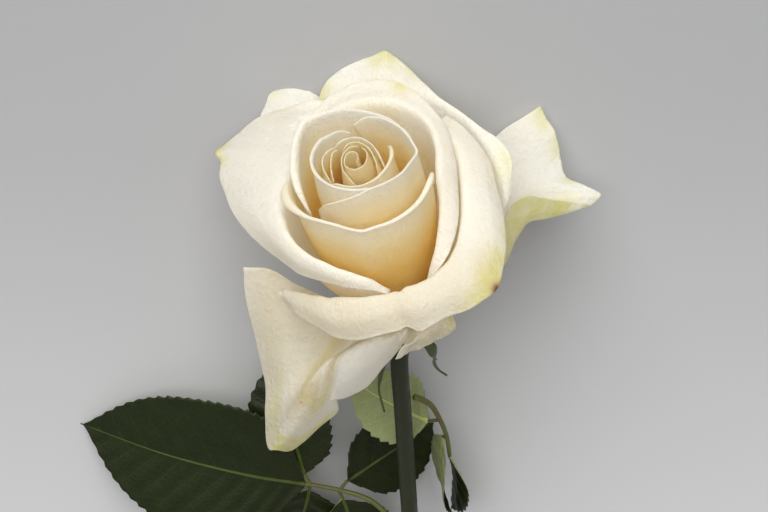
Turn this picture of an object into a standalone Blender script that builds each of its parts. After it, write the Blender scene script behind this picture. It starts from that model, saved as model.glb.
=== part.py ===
"""A cut rose lying on a surface: a full cream bloom, five sepals, a short stem and two compound leaves.

Lengths are in millimetres and angles in degrees until a mesh is made, which is in metres.
A petal is drawn in the bloom's own frame: azimuth round its axis, radius from it, height along it.
Azimuth 0 points to +X, 90 down to the surface, 180 to -X and 270 up.
The stem and the leaves are drawn from the middle of the receptacle's top, along the world's axes.
"""

import math

import bmesh
import bpy
import numpy as np
from mathutils import Matrix

MM = 0.001

# Where the bloom sits: the middle of its receptacle's top, and the direction of its axis.
RECEPTACLE = np.array([21.3, 86.1, 37.0])
BLOOM_PITCH = 13.8
BLOOM_YAW = 11.5

# Petals
PETAL_THICKNESS = 0.6
PETAL_GAP = 0.5
PETAL_FOOT_HEIGHT = 0.75
PETAL_FOOT_RADIUS = 1.3
HANGING_FOOT_RADIUS = 8.0
BUD_GRID = (8, 6)
OUTER_GRID = (10, 8)
# A petal's wall is read at these parts of its height. Its foot is narrower than its rim by these shares, and
# a fuller wall swells out sooner.
BUD_WALL = (0, 0.07, 0.18, 0.35, 0.6, 0.82, 1)
BUD_FOOT_SHARE, BUD_WIDENING, BUD_FULLNESS = 0.55, 0.7, 2.4
OPEN_WALL = (0, 0.07, 0.18, 0.35, 0.6, 0.84)
OPEN_FOOT_SHARE, OPEN_WIDENING, OPEN_FULLNESS = 0.45, 0.6, 2.1
OPEN_WALL_INSET = 0.97
UPRIGHT_FOOT = 0.2
LIP_BULGE = 0.16

# Stem and receptacle
STEM_LENGTH = 240.0
STEM_LEAN = 0.054
STEM_SIDES = 12
STEM_RADIUS = 2.45
NECK_RADIUS = 2.75
RECEPTACLE_RADIUS = 9.2
HIP_RADIUS = 4.3
SEPAL_FOOT_RADIUS = 4.95
SEPAL_FOOT_DEPTH = 5.0
# The receptacle and the hip below it, as (distance down the bloom's axis, radius), and how the hip bows up.
HIP_PROFILE = [
    (0, RECEPTACLE_RADIUS), (1.0, RECEPTACLE_RADIUS), (2.4, 6.4), (4.0, HIP_RADIUS), (7.5, HIP_RADIUS),
    (10.5, 3.5), (13.0, 2.9),
]
HIP_BOW = 0.004
STEM_START = 0.085

# Leaves and sepals
LEAF_THICKNESS = 0.5
STALK_RADIUS_AT_STEM = 1.0
STALK_RADIUS_AT_END = 0.64
SIDE_STALK_RADIUS = 0.55
STALK_SIDES = 8
LEAST_HALF_WIDTH = 0.45
STALK_GAP = 0.35
LEAFLET_GRID = (4, 7)
SEPAL_GRID = (2, 7)
SEPAL_FOLD = 0.12
SEPAL_TAPER = 1.4

# The rim of each petal that stands round the bud, as (azimuth, radius, height) from one side to the other.
BUD_PETALS = {
    "petal_01_heart": [
        (-20, 0.6, 60.6), (40, 1.7, 61.8), (94, 2.2, 62.4), (150, 2.3, 62.2), (200, 2.8, 60.8),
        (250, 2.3, 59.8), (300, 2.3, 59.6), (350, 3.3, 60.2), (390, 4.4, 61.4), (416, 4.5, 61.8),
    ],
    "petal_02": [
        (75, 5.5, 61.2), (95, 4.7, 62), (121, 3.8, 62.2), (155, 3.4, 62), (184, 3.5, 61.2), (205, 3.8, 60),
        (227, 4.0, 58.8), (246, 4.4, 57.6), (264, 5.0, 56.2),
    ],
    "petal_03": [
        (-23, 6.4, 56.4), (-8, 6.1, 59.6), (5, 5.6, 60.8), (28, 5.5, 61.8), (57, 5.6, 62.2),
        (85, 6.1, 62.2),
        (104, 6.5, 61.6), (121, 6.5, 59.6),
    ],
    "petal_05": [
        (130, 6.5, 61.4), (148, 6.4, 62.4), (164, 6.4, 62), (183, 6.6, 61), (197, 7.0, 59.6),
        (208, 7.4, 57.4),
    ],
    "petal_06": [
        (132, 7.5, 61.8), (148, 7.6, 62.8), (164, 8.2, 63), (175, 8.6, 62.6), (186, 8.8, 61.8),
        (199, 8.6, 60.4), (213, 8.4, 58.4),
    ],
    "petal_04": [
        (-10, 8.2, 57.0), (8, 7.2, 60.8), (26, 6.8, 62), (51, 6.7, 62.8), (77, 7.2, 63), (98, 7.6, 62.8),
        (117, 8.0, 62.2), (130, 8.5, 60.6),
    ],
    "petal_07": [
        (222, 9.4, 59.6), (240, 9.8, 61.2), (260, 10.4, 61.3), (277, 10.4, 61), (295, 10.5, 61),
        (312, 10.7, 61.3), (329, 10.8, 61.7), (345, 11.1, 62), (0, 11.2, 62), (15, 11.1, 61.2),
        (29, 10.9, 59.4),
    ],
    "petal_08": [
        (92, 11.0, 61.6), (107, 10.5, 64), (126, 10.0, 65), (143, 10.5, 65.4), (160, 10.9, 65.4),
        (176, 11.5, 65), (190, 11.8, 64.5), (206, 11.9, 63.9), (222, 12.0, 63.3), (238, 12.3, 63),
        (254, 12.5, 62.6), (270, 12.8, 62), (286, 13.0, 61.4), (300, 13.2, 59.6),
    ],
    "petal_09": [
        (208, 14.3, 51), (221, 13.6, 54.5), (237, 13.5, 57.2), (254, 13.5, 59.2), (272, 13.9, 61),
        (285, 14.3, 62.3), (298, 15.0, 62.6), (311, 15.8, 62.6), (325, 16.5, 62.4), (340, 16.8, 62),
        (354, 18.0, 61.9), (4, 17.2, 62.4), (16, 16.4, 63.4), (28, 15.7, 64), (41, 15.1, 64.4),
        (56, 14.8, 64.5), (73, 14.7, 63.6), (89, 15.0, 60.6),
    ],
    "petal_10": [
        (21, 18.3, 53), (27, 17.9, 59.4), (38, 17.4, 61.2), (50, 17.2, 62.2), (64, 17.3, 62.8),
        (80, 17.9, 63.4), (96, 19.0, 64), (110, 20.0, 64.2), (123, 21.2, 64.2), (130, 21.6, 63.9),
        (139, 20.7, 63.3), (150, 19.5, 62.8), (162, 18.6, 62), (174, 18.1, 61.1), (186, 17.8, 59.6),
        (197, 17.6, 57.2), (206, 16.6, 51),
    ],
    "petal_11": [
        (157, 20.4, 48), (169, 21.3, 53.4), (180, 22.0, 54.7), (191, 22.1, 55.5), (203, 21.6, 56.3),
        (215, 21.2, 57), (227, 21.1, 57.4), (239, 21.0, 57.8), (251, 21.2, 57.4), (262, 21.9, 56.4),
        (271, 22.6, 55.8), (280, 22.8, 56.2), (292, 23.3, 56.4), (304, 23.6, 56.8), (316, 23.5, 57.1),
        (327, 23.1, 57.6), (338, 22.7, 57.8), (347, 21.6, 55.6), (353, 20.4, 49),
    ],
}

# How far the wall of each bud petal stands out beyond its rim, below it. Nearer the axis it stands out less.
BULGING_RADIUS = 4.5
BUD_BULGES = {
    "petal_01_heart": 3.0, "petal_02": 2.4, "petal_03": 2.2, "petal_04": 1.8, "petal_05": 2.0, "petal_06": 1.4,
    "petal_07": 1.0, "petal_08": 1.2, "petal_09": 0.8, "petal_10": 0.6, "petal_11": 0.0,
}

# Each petal that has opened, as stations (azimuth, crest radius and height, edge radius and height).
OPEN_PETALS = {
    "petal_12": [
        (-60, 24.6, 29.0, 25.4, 29.6), (-48, 24.6, 35.8, 28.0, 36.0), (-36, 23.8, 41.4, 28.0, 39.2),
        (-22, 22.8, 46.8, 27.6, 43.4), (-8, 21.6, 50.2, 27.0, 46.6), (6, 21.8, 51.6, 27.4, 48.2),
        (21, 23.6, 52.4, 28.6, 49.8), (34, 25.8, 52.8, 31.0, 50.6), (47, 28.2, 53.0, 33.4, 52.2),
        (60, 30.0, 53.2, 36.8, 53.4), (73, 31.0, 53.4, 39.6, 54.4), (86, 31.2, 53.4, 40.3, 54.4),
        (98, 30.8, 53.0, 38.8, 53.5), (107, 29.6, 51.6, 36.6, 52.2), (114, 28.0, 49.0, 33.8, 50.4),
        (120, 26.4, 45.0, 29.6, 46.0),
    ],
    "petal_13": [
        (97, 32.4, 46.4, 38.6, 48.6), (106, 31.6, 49.0, 40.4, 50.8), (113, 31.0, 50.0, 42.6, 50.2),
        (120, 29.4, 51.0, 46.8, 48.2), (127, 26.4, 52.0, 51.0, 46.4), (134, 24.4, 52.4, 51.6, 45.6),
        (140, 23.4, 52.6, 52.6, 45.0), (144, 23.0, 52.6, 53.2, 44.8), (147, 22.8, 52.4, 49.2, 45.2),
        (153, 22.6, 52.2, 47.2, 44.0), (160, 22.6, 51.8, 43.6, 42.8), (168, 22.8, 51.0, 40.2, 41.6),
        (178, 23.2, 50.0, 35.6, 40.2), (190, 23.6, 48.6, 31.0, 39.0), (204, 24.0, 47.4, 28.0, 38.4),
        (220, 24.2, 46.4, 27.0, 38.6), (238, 24.4, 45.4, 26.6, 39.4), (254, 24.8, 43.0, 27.0, 39.0),
        (268, 25.2, 40.0, 27.4, 37.6), (278, 25.0, 34.0, 27.2, 34.0),
    ],
    "petal_14": [
        (199, 30.9, 25.4, 31.6, 24.4), (203, 29.5, 26.8, 30.8, 23.1), (210, 27.8, 28.0, 30.6, 23.7),
        (220, 27.0, 30.1, 31.2, 25.2), (233, 27.0, 32.7, 32.0, 25.6), (246, 27.2, 34.4, 33.5, 24.7),
        (257, 27.6, 35.6, 34.0, 25.2), (268, 27.8, 36.2, 34.4, 27.2), (277, 28.0, 36.2, 34.8, 27.8),
        (281, 28.2, 36.3, 34.0, 27.6), (286, 28.4, 36.3, 35.4, 25.6), (289, 28.6, 36.3, 36.0, 26.2),
        (298, 29.0, 36.1, 36.6, 27.3), (307, 29.2, 36.8, 38.6, 27.1), (314, 29.0, 36.8, 40.6, 28.4),
        (321, 28.6, 37.0, 42.4, 29.6), (331, 28.4, 38.8, 40.8, 31.6), (342, 28.0, 41.2, 39.0, 33.6),
        (354, 27.6, 43.6, 37.6, 36.2), (366, 27.8, 45.4, 36.8, 38.6), (378, 28.8, 46.8, 37.2, 41.6),
        (390, 30.0, 47.6, 37.0, 44.6), (400, 31.4, 47.6, 37.2, 46.4), (409, 33.6, 46.0, 38.0, 46.4),
    ],
    "petal_15": [
        (-2, 36.4, 35.0, 38.8, 39.0), (5, 36.8, 38.0, 40.8, 41.0), (11, 37.2, 40.4, 42.7, 42.6),
        (17, 37.4, 42.4, 42.8, 44.2), (23, 37.6, 44.0, 41.4, 45.6), (31, 38.0, 45.4, 40.0, 46.8),
        (42, 38.4, 46.8, 39.8, 48.0), (54, 38.8, 48.0, 40.8, 49.2), (63, 39.8, 49.0, 44.0, 50.2),
        (70, 40.8, 49.8, 48.2, 51.2), (76, 41.6, 50.6, 50.8, 54.2), (79, 42.0, 50.8, 51.4, 55.6),
        (83, 42.2, 50.8, 50.4, 55.2), (88, 42.2, 50.4, 49.0, 54.9), (94, 42.0, 49.4, 47.8, 53.8),
        (100, 41.4, 47.4, 46.8, 51.8), (105, 40.4, 44.0, 45.0, 47.6), (109, 39.4, 40.6, 42.2, 43.0),
    ],
    "petal_16": [
        (99, 42.6, 38.0, 45.4, 41.0), (103, 43.8, 42.0, 47.6, 45.0), (107, 44.8, 44.6, 49.8, 48.2),
        (112, 46.0, 46.2, 52.7, 49.4), (117, 46.6, 46.2, 54.8, 49.4), (121, 46.0, 44.4, 54.4, 46.5),
        (125, 44.6, 42.0, 52.4, 44.4), (131, 42.4, 38.6, 47.6, 40.8),
    ],
}

# Each petal that hangs free, as ribs from its foot to its edge: (azimuth, radius, height).
HANGING_PETALS = {
    "petal_17": [
        [
            (214, 9, 3.4), (204.7, 14.6, 10.9), (195.7, 20.6, 17.2),
            (190.9, 25.7, 22), (185.3, 31.7, 27.9), (181.1, 39.2, 28.4),
        ],
        [
            (219, 9, 2.9), (210.4, 14.7, 9.6), (202, 20.9, 14.3),
            (196.1, 26.7, 18), (189.3, 33.7, 21.7), (183.6, 40.8, 20.9),
        ],
        [
            (224, 9, 2.6), (218.2, 15.8, 8.6), (210.5, 22.1, 11),
            (202.8, 27.9, 12.6), (195.2, 34.8, 13.2), (187.5, 41.9, 11.2),
        ],
        [
            (229, 9, 2.2), (223.7, 16.7, 7.4), (217, 23.3, 7.9),
            (207.9, 29.2, 7.1), (199.7, 35.7, 5.5), (190.7, 42.4, 1.5),
        ],
        [
            (234, 9, 2), (227.5, 17.5, 6.2), (221.1, 24, 4.9),
            (213.6, 30.7, 2), (206.1, 37.5, -2.4), (195.1, 43.8, -10.7),
        ],
        [
            (239, 9, 1.8), (230, 17.7, 5.6), (223.5, 24.1, 3.8),
            (217.7, 31.6, 0.9), (211.5, 39.8, -6.9), (199.9, 47.4, -19.4),
        ],
        [
            (243, 9, 1.6), (232.5, 17.8, 5.5), (224, 24, 3.5),
            (221.2, 31.4, 1.7), (212.9, 40.1, -11.2), (200.2, 49.8, -32.3),
        ],
        [
            (246, 9, 1.6), (234.9, 17.8, 5.5), (226.3, 23.7, 3.7),
            (223.9, 30.9, 3), (217.5, 38.4, -11.1), (204.9, 47.5, -31),
        ],
        [
            (249, 9, 1.6), (235.7, 17.7, 5.5), (227.4, 23.2, 3.9),
            (226.1, 30.1, 3.9), (220.1, 35.6, -11.5), (202.6, 43.2, -36.2),
        ],
        [
            (253, 9, 1.6), (238.2, 17.7, 5.8), (229.8, 22.8, 4.6),
            (228.9, 29.1, 5.1), (225.8, 32.6, -7.1), (210.3, 34.6, -27.2),
        ],
        [
            (256, 9, 1.7), (240.7, 17.8, 6.1), (233, 22.2, 5.4),
            (233.5, 28.6, 7.1), (231.4, 31, -2.4), (221.7, 29.3, -18.4),
        ],
        [
            (259, 9, 1.8), (243.1, 17.8, 6.5), (236.3, 21.6, 6.3),
            (237.7, 27.9, 8.9), (233.7, 30.8, 1.6), (225.6, 32.1, -9.5),
        ],
        [
            (262, 9, 1.9), (246.5, 17.8, 7.1), (241.2, 20.8, 7.4),
            (243.8, 26.8, 11), (241.5, 29.9, 4), (232.8, 29.9, -8.9),
        ],
        [
            (266, 9, 2), (250.8, 17.6, 7.6), (248, 20, 8.4),
            (251, 25.5, 12.8), (250.4, 27.7, 6.9), (244.6, 26.2, -6.1),
        ],
        [
            (271, 9, 2.2), (257.4, 17, 7.9), (256.5, 18.9, 9.1),
            (259.5, 23.8, 13.6), (260.8, 25.3, 9.5), (258.4, 23.1, 0),
        ],
        [
            (275, 9, 2.3), (265.5, 16.6, 8.1), (267.1, 17.9, 9),
            (270.1, 22.3, 12), (269.3, 23, 9), (266.9, 21.5, 2.7),
        ],
        [
            (279, 9, 2.4), (275.2, 16.4, 8.9), (279.3, 17.8, 10.3),
            (282, 21, 12.8), (282.7, 21.7, 12.2), (282.7, 21.2, 10),
        ],
    ],
    "petal_18": [
        [(276, 10, 1.2), (278, 18.5, 9.1), (273.9, 20.7, 8.1), (268.5, 20.1, 4)],
        [(283, 10, 1.6), (284.5, 19.5, 9.1), (282.6, 22.6, 8.8), (278.3, 21.5, 3.5)],
        [(293, 10, 2), (289.6, 19.9, 9.5), (290.5, 24.1, 10.7), (292.2, 23.1, 5.3)],
        [(304, 10, 2.2), (294.4, 20, 9.7), (297.6, 24.5, 12), (303.1, 25, 6.9)],
        [(316, 10, 2.2), (301.7, 19.4, 10.4), (305.1, 24.3, 13.2), (312, 27, 8.4)],
        [(326, 10, 2.2), (309.2, 17.9, 10.6), (312.3, 22, 13.3), (316.4, 24.6, 10.7)],
    ],
    "petal_19": [
        [
            (74, 9, 3), (70, 14, 7.5), (49.2, 20.2, 7.9), (46.9, 36.1, 17.4),
            (45.4, 47.6, 24.7), (43.8, 54.4, 27.5), (41.6, 61, 28.6), (39.6, 67.2, 29.9),
        ],
        [
            (68, 9, 2.8), (63, 14.5, 6.8), (43.6, 20.3, 6.7), (42.4, 35.7, 14.2),
            (41.7, 47.3, 21.1), (40.7, 54.8, 23.9), (38.9, 60.8, 25.5), (38, 66.8, 26.8),
        ],
        [
            (61, 9, 2.4), (56, 15, 6), (38.6, 20.4, 5.6), (37.9, 35.7, 11.7),
            (37.8, 46.9, 18.4), (37.3, 54.4, 21.1), (35.8, 60.4, 22.4), (35, 66.5, 23),
        ],
        [
            (54, 9, 2), (49, 15, 5.2), (33.6, 20.6, 4.5), (33.9, 35.4, 9.2),
            (34.3, 46.2, 15.7), (33.9, 53.4, 18.5), (33.1, 59.4, 19.1), (32.6, 65.2, 19.5),
        ],
        [
            (47, 9, 1.8), (42, 15, 4.6), (29.3, 20.8, 3.8), (30.2, 35.2, 7.2),
            (30.9, 45.6, 13.8), (30.5, 52.5, 16.3), (30, 58.4, 16.2), (30, 63.5, 16.1),
        ],
        [
            (40, 9, 1.5), (35, 15, 4), (25.3, 21.3, 3.4), (27.2, 34.8, 6),
            (28.2, 44.7, 12.7), (27.4, 51.8, 15.1), (26.4, 56.8, 15), (26.7, 62.3, 13.3),
        ],
        [
            (33, 9, 1.3), (28, 15, 3.4), (21.7, 21.5, 3.1), (24.3, 34.3, 5.1),
            (25.7, 43.7, 12.3), (24.6, 50.9, 14.8), (23.7, 57.1, 14), (22.4, 65, 12.8),
        ],
        [
            (26, 9, 1.2), (21, 15, 2.8), (18.3, 21.9, 2.8), (21.6, 33.7, 4.3),
            (23.4, 42.3, 11.7), (21.9, 49.6, 14.5), (21, 57, 13.8), (19.3, 68.4, 10.1),
        ],
        [
            (18, 9, 1), (14, 15, 2), (15.2, 22, 2.5), (17.9, 32.8, 3.3),
            (20.1, 40.2, 10.2), (19.7, 46.5, 13.6), (18.9, 54.1, 12.5), (18.8, 67.2, 8.7),
        ],
        [
            (10, 9, 0.9), (7, 15, 1.2), (12, 22.1, 1.9), (13.2, 32.4, 0.8),
            (16, 37.8, 6.8), (17, 44.1, 12.7), (17.1, 51.3, 11.3), (18.2, 64.2, 8.1),
        ],
    ],
    "petal_20": [
        [(150, 9, 2.2), (148, 20, 9.0), (146, 30, 17.0), (145, 36, 25.0)],
        [(138, 9, 2.0), (134, 21, 8.6), (131, 33, 16.6), (130, 41, 26.0)],
        [(124, 9, 2.0), (119, 21, 8.0), (116, 34, 15.6), (115, 42, 25.6)],
        [(110, 9, 2.0), (104, 21, 7.8), (101, 33, 15.0), (99, 40.5, 24.6)],
        [(96, 9, 2.2), (90, 20, 8.0), (87, 30, 15.0), (85, 37, 22.0)],
    ],
}

# Each sepal: the azimuth of its foot on the hip, the rest of its middle line, and its half width at the foot.
SEPALS = {
    "sepal_1": (
        335,
        [(10.4, -11.1, 4), (11.8, -14, 3), (11.5, -17.9, 1.5), (12.6, -21.8, 0), (15.4, -25.2, -1.5)],
        3.4,
    ),
    "sepal_2": (
        255,
        [(-3.0, -11.5, 5.0), (-4.0, -17.0, 4.2), (-4.6, -23.0, 2.2), (-5.0, -30.0, -0.4),
        (-3.4, -40.0, -3.4)],
        2.4,
    ),
    "sepal_3": (
        185,
        [(-8.4, -8.6, 0.2), (-12.0, -14.0, -2.0), (-12.4, -21.0, -5.0), (-14.6, -29.0, -7.6)],
        2.5,
    ),
    "sepal_4": (
        110,
        [(-3.0, -9.4, -9.0), (-5.0, -16.0, -13.0), (-5.4, -23.0, -16.0), (-8.0, -31.0, -18.6)],
        2.5,
    ),
    "sepal_5": (
        40,
        [(8.6, -10.0, -6.4), (10.4, -16.4, -10.4), (10.0, -23.0, -13.0), (12.6, -30.0, -17.0)],
        2.4,
    ),
}

# Each compound leaf: its stalk's middle line, the side stalks that leave it as (start, end), and its
# leaflets. The first leaflet grows from the stalk's end and the others from the side stalks' ends. A leaflet
# is (the rest of its middle line, width, the way its upper face looks, fold).
LEAVES = {
    "leaf_a": {
        "stalk": [
            (1.6, -97.6, -14.6), (-0.8, -92.0, -14.8), (-4.2, -87.0, -15.6), (-10.0, -83.2, -17.0),
            (-19.0, -81.4, -18.8), (-28.6, -80.6, -20.6),
        ],
        "side_stalks": [
            ((-27.0, -80.6, -20.2), (-28.8, -77.2, -21.0)),
            ((-27.0, -80.8, -20.2), (-27.4, -84.6, -23.0)),
            ((-17.6, -81.6, -18.5), (-15.2, -78.6, -19.6)),
            ((-18.0, -81.8, -18.5), (-16.6, -85.6, -19.2)),
        ],
        "leaflets": [
            ([(-48.0, -76.6, -20.6), (-74.0, -72.0, -25.4), (-101.0, -67.4, -35.2)], 51, (0.1, 0.05, 1), 0.1),
            ([(-31.6, -66.0, -23.4), (-34.8, -54.0, -28.4), (-37.6, -40.6, -35.0)], 27, (-0.15, 0.1, 1), 0.12),
            ([(-30.0, -97.0, -25.6), (-34.6, -112.0, -29.4), (-41.0, -128.0, -35.2)], 29, (0.1, -0.2, 1), 0.12),
            ([(-6.0, -73.6, -23.4), (3.0, -68.6, -26.6), (12.6, -62.6, -31.0)], 30, (0.1, -0.1, 1), 0.08),
            ([(-14.0, -97.0, -21.0), (-10.6, -112.0, -25.0), (-10.0, -127.0, -33.0)], 27, (0.2, 0.0, 1), 0.1),
        ],
    },
    "leaf_b": {
        "stalk": [
            (5.9, -36.4, -6.0), (8.4, -39.0, -8.2), (11.2, -43.0, -10.6), (13.8, -49.4, -12.4),
            (16.0, -57.0, -14.2), (17.2, -66.0, -16.0),
        ],
        "side_stalks": [
            ((13.6, -49.6, -12.4), (10.4, -52.2, -15.4)),
            ((15.8, -56.6, -14.0), (15.2, -59.4, -17.0)),
        ],
        "leaflets": [
            ([(19.4, -76.0, -20.6), (20.0, -87.0, -24.6), (18.6, -99.0, -31.4)], 15, (-1, 0.0, 0.4), -0.1),
            ([(4.0, -51.6, -19.6), (-4.6, -48.4, -22.4), (-14.6, -43.6, -26.4)], 24, (-0.1, -0.3, -1), -0.1),
            ([(14.6, -70.0, -19.4), (15.4, -83.0, -22.4), (18.4, -98.0, -27.4)], 17, (1, 0.0, -0.22), -0.12),
        ],
    },
}


def clear_scene():
    """Removes what the startup file holds."""
    for thing in list(bpy.data.objects):
        bpy.data.objects.remove(thing, do_unlink=True)


def make_material(name, colour, roughness, metallic=0.0):
    """A Principled material of one colour."""
    material = bpy.data.materials.new(name)
    material.use_nodes = True
    shader = material.node_tree.nodes["Principled BSDF"]
    shader.inputs["Base Color"].default_value = (*colour, 1.0)
    shader.inputs["Roughness"].default_value = roughness
    shader.inputs["Metallic"].default_value = metallic
    return material


def bloom_frame():
    """The bloom's axes as the columns of a matrix, with its own axis last."""
    pitch, yaw = math.radians(BLOOM_PITCH - 90), math.radians(BLOOM_YAW)
    lean = Matrix.Rotation(pitch, 3, "X")
    turn = Matrix.Rotation(yaw, 3, "Z")
    return np.array(turn @ lean)


def from_bloom(points):
    """World positions of points given as (azimuth, radius, height) in the bloom's frame."""
    azimuth = np.radians(points[..., 0])
    across, down = points[..., 1] * np.cos(azimuth), points[..., 1] * np.sin(azimuth)
    return np.stack([across, down, points[..., 2]], axis=-1) @ bloom_frame().T + RECEPTACLE


def smooth_line(points, places):
    """A Catmull-Rom curve through the points, read at places from 0 to 1 of their number."""
    points = np.asarray(points, float)
    ends = np.concatenate([[2 * points[0] - points[1]], points, [2 * points[-1] - points[-2]]])
    along = np.clip(np.asarray(places, float), 0, 1) * (len(points) - 1)
    start = np.minimum(along.astype(int), len(points) - 2)
    t = (along - start).reshape(-1, *[1] * (points.ndim - 1))
    a, b, c, d = (ends[start + i] for i in range(4))
    return 0.5 * (2 * b + (c - a) * t + (2 * a - 5 * b + 4 * c - d) * t**2 + (3 * b - a - 3 * c + d) * t**3)


def even_line(points, count):
    """The same curve read at count + 1 places that are evenly spaced along its length."""
    fine = smooth_line(points, np.linspace(0, 1, 81))
    steps = np.linalg.norm(np.diff(from_bloom(fine), axis=0), axis=1)
    length = np.concatenate([[0], np.cumsum(steps)])
    wanted = np.linspace(0, length[-1], count + 1)
    return np.stack([np.interp(wanted, length, fine[:, i]) for i in range(3)], axis=-1)


def unwound(rim):
    """The rim with its azimuths made to rise all the way, past 360 where they must."""
    azimuths = np.degrees(np.unwrap(np.radians([point[0] for point in rim])))
    return [(azimuth, *point[1:]) for azimuth, point in zip(azimuths, rim)]


def swell(t, fullness):
    """How much of its full radius a petal's wall has reached: an upright foot, then a rounded belly."""
    return (1 - (1 - t) ** fullness) * min(1, t / UPRIGHT_FOOT) ** 0.6


def bud_ribs(rim, bulge):
    """Ribs of a petal that wraps the bud: each rises from the receptacle, swells and closes in."""
    rim = unwound(rim)
    middle = (rim[0][0] + rim[-1][0]) / 2
    ribs = []
    for azimuth, radius, height in rim:
        rib = []
        for t in BUD_WALL:
            share = BUD_FOOT_SHARE + (1 - BUD_FOOT_SHARE) * t**BUD_WIDENING
            around = middle + (azimuth - middle) * share
            out = PETAL_FOOT_RADIUS + (radius - PETAL_FOOT_RADIUS) * swell(t, BUD_FULLNESS)
            out += bulge * min(1, radius / BULGING_RADIUS) ** 2 * math.sin(math.pi * t**2)
            rib.append((around, out, PETAL_FOOT_HEIGHT + (height - PETAL_FOOT_HEIGHT) * t))
        ribs.append(rib)
    return ribs


def open_ribs(stations):
    """Ribs of an opened petal: a swelling wall, a crest, and a lip that turns out beyond it."""
    middle = (stations[0][0] + stations[-1][0]) / 2
    ribs = []
    for azimuth, crest_radius, crest_height, edge_radius, edge_height in stations:
        rib = []
        for t in OPEN_WALL:
            share = OPEN_FOOT_SHARE + (1 - OPEN_FOOT_SHARE) * t**OPEN_WIDENING
            around = middle + (azimuth - middle) * share
            belly = OPEN_WALL_INSET * swell(t, OPEN_FULLNESS)
            out = PETAL_FOOT_RADIUS + (crest_radius - PETAL_FOOT_RADIUS) * belly
            rib.append((around, out, PETAL_FOOT_HEIGHT + (crest_height - PETAL_FOOT_HEIGHT) * t))
        lip = ((crest_radius + edge_radius) / 2, (crest_height + edge_height) / 2)
        bulge = LIP_BULGE * abs(crest_height - edge_height)
        rib.append((azimuth, crest_radius, crest_height))
        rib.append((azimuth, lip[0] + bulge, lip[1] + bulge))
        rib.append((azimuth, edge_radius, edge_height))
        ribs.append(rib)
    return ribs


def hanging_ribs(ribs):
    """Ribs of a petal that hangs free, with its foot on the receptacle added."""
    return [[(rib[0][0], HANGING_FOOT_RADIUS, PETAL_FOOT_HEIGHT)] + rib for rib in ribs]


def net_of(ribs, grid):
    """A net of points over the petal: grid[0] + 1 ribs of grid[1] + 1 points."""
    columns = np.stack([even_line(rib, grid[1]) for rib in ribs])
    return smooth_line(columns, np.linspace(0, 1, grid[0] + 1))


def straight_line(points, places):
    """The straight pieces between the points, read at places from 0 to 1 of their number."""
    along = np.asarray(places, float) * (len(points) - 1)
    start = np.minimum(along.astype(int), len(points) - 2)
    t = (along - start).reshape(-1, *[1] * (points.ndim - 1))
    return points[start] * (1 - t) + points[start + 1] * t


def faceted_net(net, across, along):
    """The flat facets between a net's points, read more finely."""
    wide = straight_line(net, np.linspace(0, 1, across + 1))
    return np.swapaxes(straight_line(np.swapaxes(wide, 0, 1), np.linspace(0, 1, along + 1)), 0, 1)


class Reach:
    """How far out the petals reach so far, by azimuth and height, so that the next one lies outside them."""

    STEP_AZIMUTH, STEP_HEIGHT, LOWEST, ROWS = 5, 0.75, -45, 180
    FACET_POINTS = 120
    EASING_PASSES = 2

    def __init__(self):
        self.radius = np.zeros((360 // self.STEP_AZIMUTH, self.ROWS))

    def cells(self, points):
        """The cells of azimuth and height that the points lie in."""
        column = np.floor(points[..., 0] / self.STEP_AZIMUTH).astype(int) % self.radius.shape[0]
        row = np.clip(((points[..., 2] - self.LOWEST) / self.STEP_HEIGHT).astype(int), 0, self.ROWS - 1)
        return column, row

    def add(self, net):
        """Widens the reach to hold a petal too."""
        points = faceted_net(net, self.FACET_POINTS, self.FACET_POINTS).reshape(-1, 3)
        np.maximum.at(self.radius, self.cells(points), points[:, 1])

    def pushed_out(self, net):
        """The net with each point moved outward until it clears the petals inside it."""
        spread = self.radius
        step = np.radians(np.abs(np.gradient(net[..., 0], axis=0)))
        cells_a_step = math.ceil(np.degrees(np.median(step)) / self.STEP_AZIMUTH)
        for shift in range(1 - cells_a_step, cells_a_step):
            spread = np.maximum(spread, np.roll(self.radius, shift, axis=0))
        for shift in (-1, 1):
            spread = np.maximum(spread, np.roll(spread, shift, axis=1))
        chord_sag = net[..., 1] * (1 - np.cos(step / 2))
        needed = spread[self.cells(net)] + PETAL_THICKNESS + PETAL_GAP + chord_sag
        push = np.maximum(0, np.where(spread[self.cells(net)] > 0, needed - net[..., 1], 0))
        eased = push.copy()
        for _ in range(self.EASING_PASSES):
            padded = np.pad(eased, 1, mode="edge")
            around = (padded[:-2, 1:-1] + padded[2:, 1:-1] + padded[1:-1, :-2] + padded[1:-1, 2:]) / 4
            eased = np.maximum(push, 0.5 * (eased + around))
        moved = net.copy()
        moved[..., 1] += eased
        return moved


def petal_nets():
    """Every petal's net by name, from the heart outward, each clear of those inside it."""
    ribs = {name: bud_ribs(rim, BUD_BULGES[name]) for name, rim in BUD_PETALS.items()}
    ribs.update((name, open_ribs(stations)) for name, stations in OPEN_PETALS.items())
    ribs.update((name, hanging_ribs(rows)) for name, rows in HANGING_PETALS.items())
    reach = Reach()
    nets = {}
    for name, rows in ribs.items():
        net = reach.pushed_out(net_of(rows, BUD_GRID if name in BUD_PETALS else OUTER_GRID))
        reach.add(net)
        nets[name] = net
    return nets


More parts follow.
